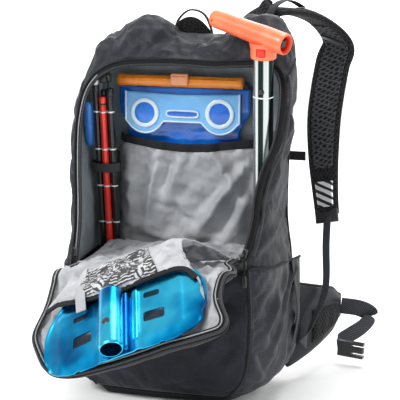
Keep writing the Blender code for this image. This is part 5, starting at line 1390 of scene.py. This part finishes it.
wide = lambda u: lerp(52, 54, u) - 16 * sm((u - 0.72) / 0.28)
for side, pts, dirs in (("right", STRAP_R, SIDES_R), ("left", STRAP_L, SIDES_L)):
    rng = np.random.RandomState(5)
    o = strap("shoulder_strap_%s_pad" % side, pts, dirs, lambda u: float(wide(u)), lambda u: 12.0 + 0.35 * math.sin(u * 60), M_MESH_BLACK, rep="shoulder_strap_" + side, n=140, m=40, p=5.0, q=2.4, round_ends=14)
    u = np.linspace(0.02, 0.985, 120)
    C, W, N, T = strap_frame(pts, dirs, u)
    h = (np.array([wide(x) for x in u]) / 2 - 1.5)[:, None]
    for k, sgn in enumerate((-1, 1)):
        tube("shoulder_strap_%s_edge_%d" % (side, k), C + W * h * sgn, 2.5, M_BLACK_WEB, sides=10)
    u = np.linspace(0.4 if side == "right" else 0.3, 0.86, 70)
    C, W, N, T = strap_frame(pts, dirs, u)
    v = np.linspace(-1, 1, 16)
    h = (np.array([wide(x) for x in u]) / 2 - 7.5)
    top = C[:, None] + W[:, None] * (v[None, :, None] * h[:, None, None]) + N[:, None] * (6.6 + 0.9 * (1 - v[None, :, None] ** 4))
    pillow("shoulder_strap_%s_mesh" % side, top, top - N[:, None] * 2.6, M_MESH)
    # webbing and keeper bar on the outer face
    u = np.linspace(0.32, 0.97, 50)
    C, W, N, T = strap_frame(pts, dirs, u)
    Cw = C - N * 7.2
    strap("shoulder_strap_%s_daisy" % side, Cw[::3], W[::3], 20.0, 1.8, M_GREY_WEB, n=80, m=18)
    ub = 0.47 if side == "right" else 0.42
    C, W, N, T = strap_frame(pts, dirs, np.array([ub - 0.022, ub, ub + 0.022]))
    bar = np.array([C[0] - W[0] * 17 + N[0] * 7.9, C[1] + N[1] * 8.3, C[2] + W[2] * 17 + N[2] * 7.9])
    strap("shoulder_strap_%s_bar" % side, bar, T, 9.0, 2.4, M_PLASTIC, n=24, m=20, p=4)
    u = np.linspace(0.895, 0.965, 24)
    C, W, N, T = strap_frame(pts, dirs, u)
    v = np.linspace(-1, 1, 10)
    top = C[:, None] + W[:, None] * (v[None, :, None] * np.array([wide(x) / 2 - 6.5 for x in u])[:, None, None]) + N[:, None] * (6.4 + 0.5 * (1 - v[None, :, None] ** 4))
    pillow("shoulder_strap_%s_reflector" % side, top, top - N[:, None] * 1.2, M_REFLECT)
    C, W, N, T = strap_frame(pts, dirs, np.array([0.985]))
    box_form("ladder_lock_%s" % side, (38, 22, 6), C[0] + T[0] * 3 + N[0] * 3, W[0], T[0], M_PLASTIC, bevel=2.0, seg=3)

for side, sx, end in (("right", 1, (184, 221, 228)), ("left", -1, (-158, 205, 228))):
    e = V(*end)
    a5 = V(195 * sx, 168, 145)
    pts = [V(175 * sx, 98, 52), V(187 * sx, 120, 89), V(195 * sx, 150, 118), a5, lerp(a5, e, 0.55) + V(-2 * sx, 2, 0), e + V(0, -2.0, 9.0)]
    ws = [(0.1 * sx, -0.3, 1), (0.7 * sx, -0.5, 0.5), (0.9 * sx, -0.4, 0.15), (0.9 * sx, -0.4, 0.1), (0.95 * sx, -0.3, 0), (0.98 * sx, -0.2, 0)]
    strap("strap_webbing_%s_band" % side, pts, ws, lambda u: 40 - 27 * float(sm(u / 0.2)), 1.9, M_GREY_WEB, rep="strap_webbing_" + side, n=110, m=20)
strap("load_lifter_right_band", [(119, 76, 559), (123, 94, 574), (132, 118, 582), (142, 138, 579), (151, 157, 570.5)], [(0.85, -0.5, 0)] * 5, 15.0, 1.9, M_BLACK_WEB, rep="load_lifter_right", n=60, m=20)
strap("load_lifter_left_band", [(-132, 95.5, 512), (-132, 108, 525), (-130, 135, 529), (-126, 163, 517)], [(0.85, 0.5, 0)] * 4, 15.0, 1.9, M_BLACK_WEB, rep="load_lifter_left", n=60, m=20)
strap("sternum_webbing_right_band", [(24, 241, 326), (60, 243, 326), (100, 244, 326), (141, 243, 326)], [(0, 0, 1)] * 4, 15, 1.9, M_BLACK_WEB, "sternum", "sternum_webbing_right", n=40, m=20)
strap("sternum_webbing_left_band", [(-24, 241, 326), (-60, 238, 326), (-95, 233, 326), (-120, 229, 326)], [(0, 0, 1)] * 4, 15, 1.9, M_BLACK_WEB, "sternum", "sternum_webbing_left", n=40, m=20)
box_form("sternum_buckle_body", (46, 9, 24), (0, 241, 326), (1, 0, 0), (0, 1, 0), M_PLASTIC, "sternum", "sternum_buckle", bevel=3.0, seg=4)
for k, zz in enumerate((-7.5, 7.5)):
    box_form("sternum_buckle_slot_%d" % k, (14, 10.2, 3), (8, 241, 326 + zz), (1, 0, 0), (0, 1, 0), M_ZIPMETAL, "sternum", bevel=0.8, seg=2)

# hip fins, pockets and belt
FR, FT = V(150, 97.5, 0), V(203, 232, 0)
FO = unit(V(FT[1] - FR[1], -(FT[0] - FR[0]), 0))


def fin_at(U, W_, sx, off, u0=0.0, u1=1.0, v0=0.0, v1=1.0, crown=0.0, relief=0.0):
    edge = np.clip(1 - np.abs(2 * U - 1) ** 6, 0, 1) * np.clip(1 - np.abs(2 * W_ - 1) ** 4, 0, 1)
    a, b = lerp(u0, u1, U), lerp(v0, v1, W_)
    p = FR + (FT - FR) * a[..., None] + FO * (5.0 * np.sin(math.pi * a))[..., None]
    z0, z1 = lerp(18, 60, np.maximum(a, 0) ** 1.2), lerp(150, 112, a)
    pinch = 1 - 0.35 * sm((a - 0.8) / 0.2)
    z = (z0 + z1) / 2 + (z1 - z0) * (b - 0.5) * pinch
    side = 1 if off > 0 else -1
    p = p + FO * (off + side * crown * edge ** 0.6 + relief)[..., None]
    return np.stack([p[..., 0] * sx, p[..., 1], z], -1)


for side, sx in (("right", 1), ("left", -1)):
    U, W_ = grid(60, 44)
    chan = np.exp(-((W_ - 0.34) / 0.03) ** 2) + np.exp(-((W_ - 0.7) / 0.03) ** 2)
    A = fin_at(U, W_, sx, 3.4, crown=3.2, relief=-0.9 * chan)
    Bq = fin_at(U, W_, sx, -3.4, crown=3.2, relief=0.9 * chan)
    pillow("hip_fin_%s_pad" % side, A, Bq, M_WING if side == "right" else M_MESH, "fin_" + side, "hip_fin_" + side)
    mid = (A + Bq) / 2
    edge = np.concatenate([mid[:, 0], mid[-1, 1:], mid[-2::-1, -1], mid[0, -2:0:-1], mid[:1, 0]])
    tube("hip_fin_%s_binding" % side, edge, 3.6, M_BLACK_WEB, "fin_" + side, sides=12, ends=False)
    U, W_ = grid(40, 34)
    A = fin_at(U, W_, sx, 7.4, 0.36, 0.9, 0.14, 0.62, crown=4.6, relief=0.7 * np.sin(U * 21) * np.sin(W_ * 3.1))
    Bq = fin_at(U, W_, sx, 6.2, 0.36, 0.9, 0.14, 0.62)
    o = pillow("hip_pocket_%s_mesh" % side, A, Bq, M_MESH_BLACK, "fin_" + side, "hip_pocket_" + side)
    tube("hip_pocket_%s_hem" % side, A[:, -1], 2.0, M_BLACK_WEB, "fin_" + side, sides=10)
    web = [(x * sx, y, z) for x, y, z in ((206, 235, 84), (236, 241, 80), (253, 248, 68), (243, 236, 52), (224, 217, 40), (212, 203, 33), (211, 191, 28))]
    strap("belt_webbing_%s_band" % side, web, [(0, 0, 1)] * 7, 27.0, 1.9, M_GREY_WEB, "fin_" + side, "belt_webbing_" + side, n=90, m=20)

for side, right in (("right", True), ("left", False)):
    U, W_ = grid(70, 60)
    top = lerp(28.2, 28.62, sm((1 - W_) / 0.55)) - 0.3 * sm((0.25 - W_) / 0.25)
    s = lerp(top, 31.72, U)
    if not right:
        s = N_ST - s
    flare = 9.5 * sm((0.22 - W_) / 0.22)
    Np = shell_normal(s, W_)
    P = shell_point(s, W_) + Np * (3.6 + flare)[..., None]
    sg = 1 if right else -1
    zl = P[0, :1, 2] + (P[0, -1:, 2] - P[0, :1, 2]) * W_[0]
    P[..., 2] += (zl - P[0, :, 2])[None] * (1 - U) ** 3
    P = ripple(P, 97, 60, 2.0, 0.1, flat=0, width=7.0, lines=(((0, 70, 190), (0, -70, 60), 5.0), ((0, 40, 200), (0, -75, 120), 5.0), ((0, 75, 120), (0, -40, 25), 5.0), ((0, 70, 60), (0, 10, 18), 3.5), ((0, -20, 180), (0, -80, 90), 3.0)))
    o = surf("side_wing_%s_cloth" % side, P, M_WING, rep="side_wing_" + side, thick=1.2)
    as_sheet(o, P)
    cloth(o, P, border(70, 60), grow=0.03, cap=3.0)
    tube("side_wing_%s_hem" % side, P[0], 2.2, M_BINDING, sides=10)
    tube("side_wing_%s_front" % side, P[:, -1], 1.6, M_COIL, sides=8)
    mm = [P[0, 8], P[14, 6] + Np[14, 6], P[34, 5] + Np[34, 5] * 1.5, P[60, 4] + Np[60, 4]]
    strap("wing_%s_band" % side, np.array(mm) + Np[30, 6] * 2.2, [(0, 1, 0)] * 4, 15, 1.8, M_GREY_WEB, n=60, m=18)

# hardware that keeps its modelled shape, and the frame sheet
for node, mat in (("belt_buckle_male", M_PLASTIC), ("belt_buckle_female", M_PLASTIC), ("zip_slider_left", M_ZIPMETAL), ("zip_slider_right", M_ZIPMETAL), ("frame_sheet", M_FRAME)):
    ob = frame["nodes"][node]
    ob = ob if isinstance(ob, bpy.types.Object) else bpy.data.objects[node]
    for k in range(len(ob.material_slots)):
        ob.material_slots[k].material = mat

# ------------------------------------------------------------------ cloth, thickness, baking
run_cloth()
pk = bpy.data.objects["blade_pocket_cloth"]
c = np.empty(len(pk.data.vertices) * 3)
pk.data.vertices.foreach_get("co", c)
G = c.reshape(POCK.shape) / MM
sub = G[PU, PV] + normals(G, tuple(-BN))[PU, PV] * 0.9
PATCH.data.vertices.foreach_set("co", (sub * MM).ravel())
PATCH.data.update()
for o in list(bpy.context.scene.objects):
    if o.type == "MESH" and "thick" in o:
        thicken(o)
bpy.context.view_layer.update()
for o in list(bpy.context.scene.objects):
    if o.type == "MESH" and "thick" in o:
        bake(o)
for o in FLAP_BLENDS:
    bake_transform(o)
for o, y0, y1 in ((BRIDGES[0], 0, 12), (BRIDGES[1], 0, 12)):
    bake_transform(o)

# ------------------------------------------------------------------ floor, light
floor_mesh = bpy.data.meshes.new("floor")
floor_mesh.from_pydata([(-6, -6, -0.0005), (6, -6, -0.0005), (6, 6, -0.0005), (-6, 6, -0.0005)], [], [(0, 1, 2, 3)])
mf = Mat("floor_pale", Roughness=0.9)
mf.colour(mf.ramp(mf.noise(2, 2), [(0.2, (0.93, 0.93, 0.93)), (0.8, (0.96, 0.96, 0.96))]))
floor = bpy.data.objects.new("floor", floor_mesh)
bpy.context.scene.collection.objects.link(floor)
floor_mesh.materials.append(mf.m)
world = bpy.data.worlds.new("studio")
bpy.context.scene.world = world
world.use_nodes = True
bg = world.node_tree.nodes["Background"]
bg.inputs[0].default_value = (1, 1, 1, 1)
bg.inputs[1].default_value = 0.62


def area(name, where, size, power, aim=(0, 0, 0.3)):
    d = bpy.data.lights.new(name, "AREA")
    d.energy, d.size = power, size
    o = bpy.data.objects.new(name, d)
    bpy.context.scene.collection.objects.link(o)
    o.location = where
    o.rotation_euler = (Vector(aim) - Vector(where)).to_track_quat("-Z", "Y").to_euler()


area("key", (-1.5, -1.7, 2.1), 0.8, 60)
area("fill", (2.1, -1.2, 1.0), 1.2, 16)
area("top", (0.2, 0.5, 2.4), 1.0, 30)
area("back", (-0.6, 2.2, 1.3), 1.4, 22)
back_mesh = bpy.data.meshes.new("backdrop")
back_mesh.from_pydata([(-9, 4.5, -0.02), (9, 4.5, -0.02), (9, 4.5, 8), (-9, 4.5, 8)], [], [(0, 1, 2, 3)])
mb = Mat("backdrop_white", Emission_Strength=1.0, Roughness=0.9)
mb.bsdf.inputs["Emission Color"].default_value = (1, 1, 1, 1)
backdrop = bpy.data.objects.new("backdrop", back_mesh)
bpy.context.scene.collection.objects.link(backdrop)
back_mesh.materials.append(mb.m)
bpy.context.scene.view_settings.view_transform = "Standard"
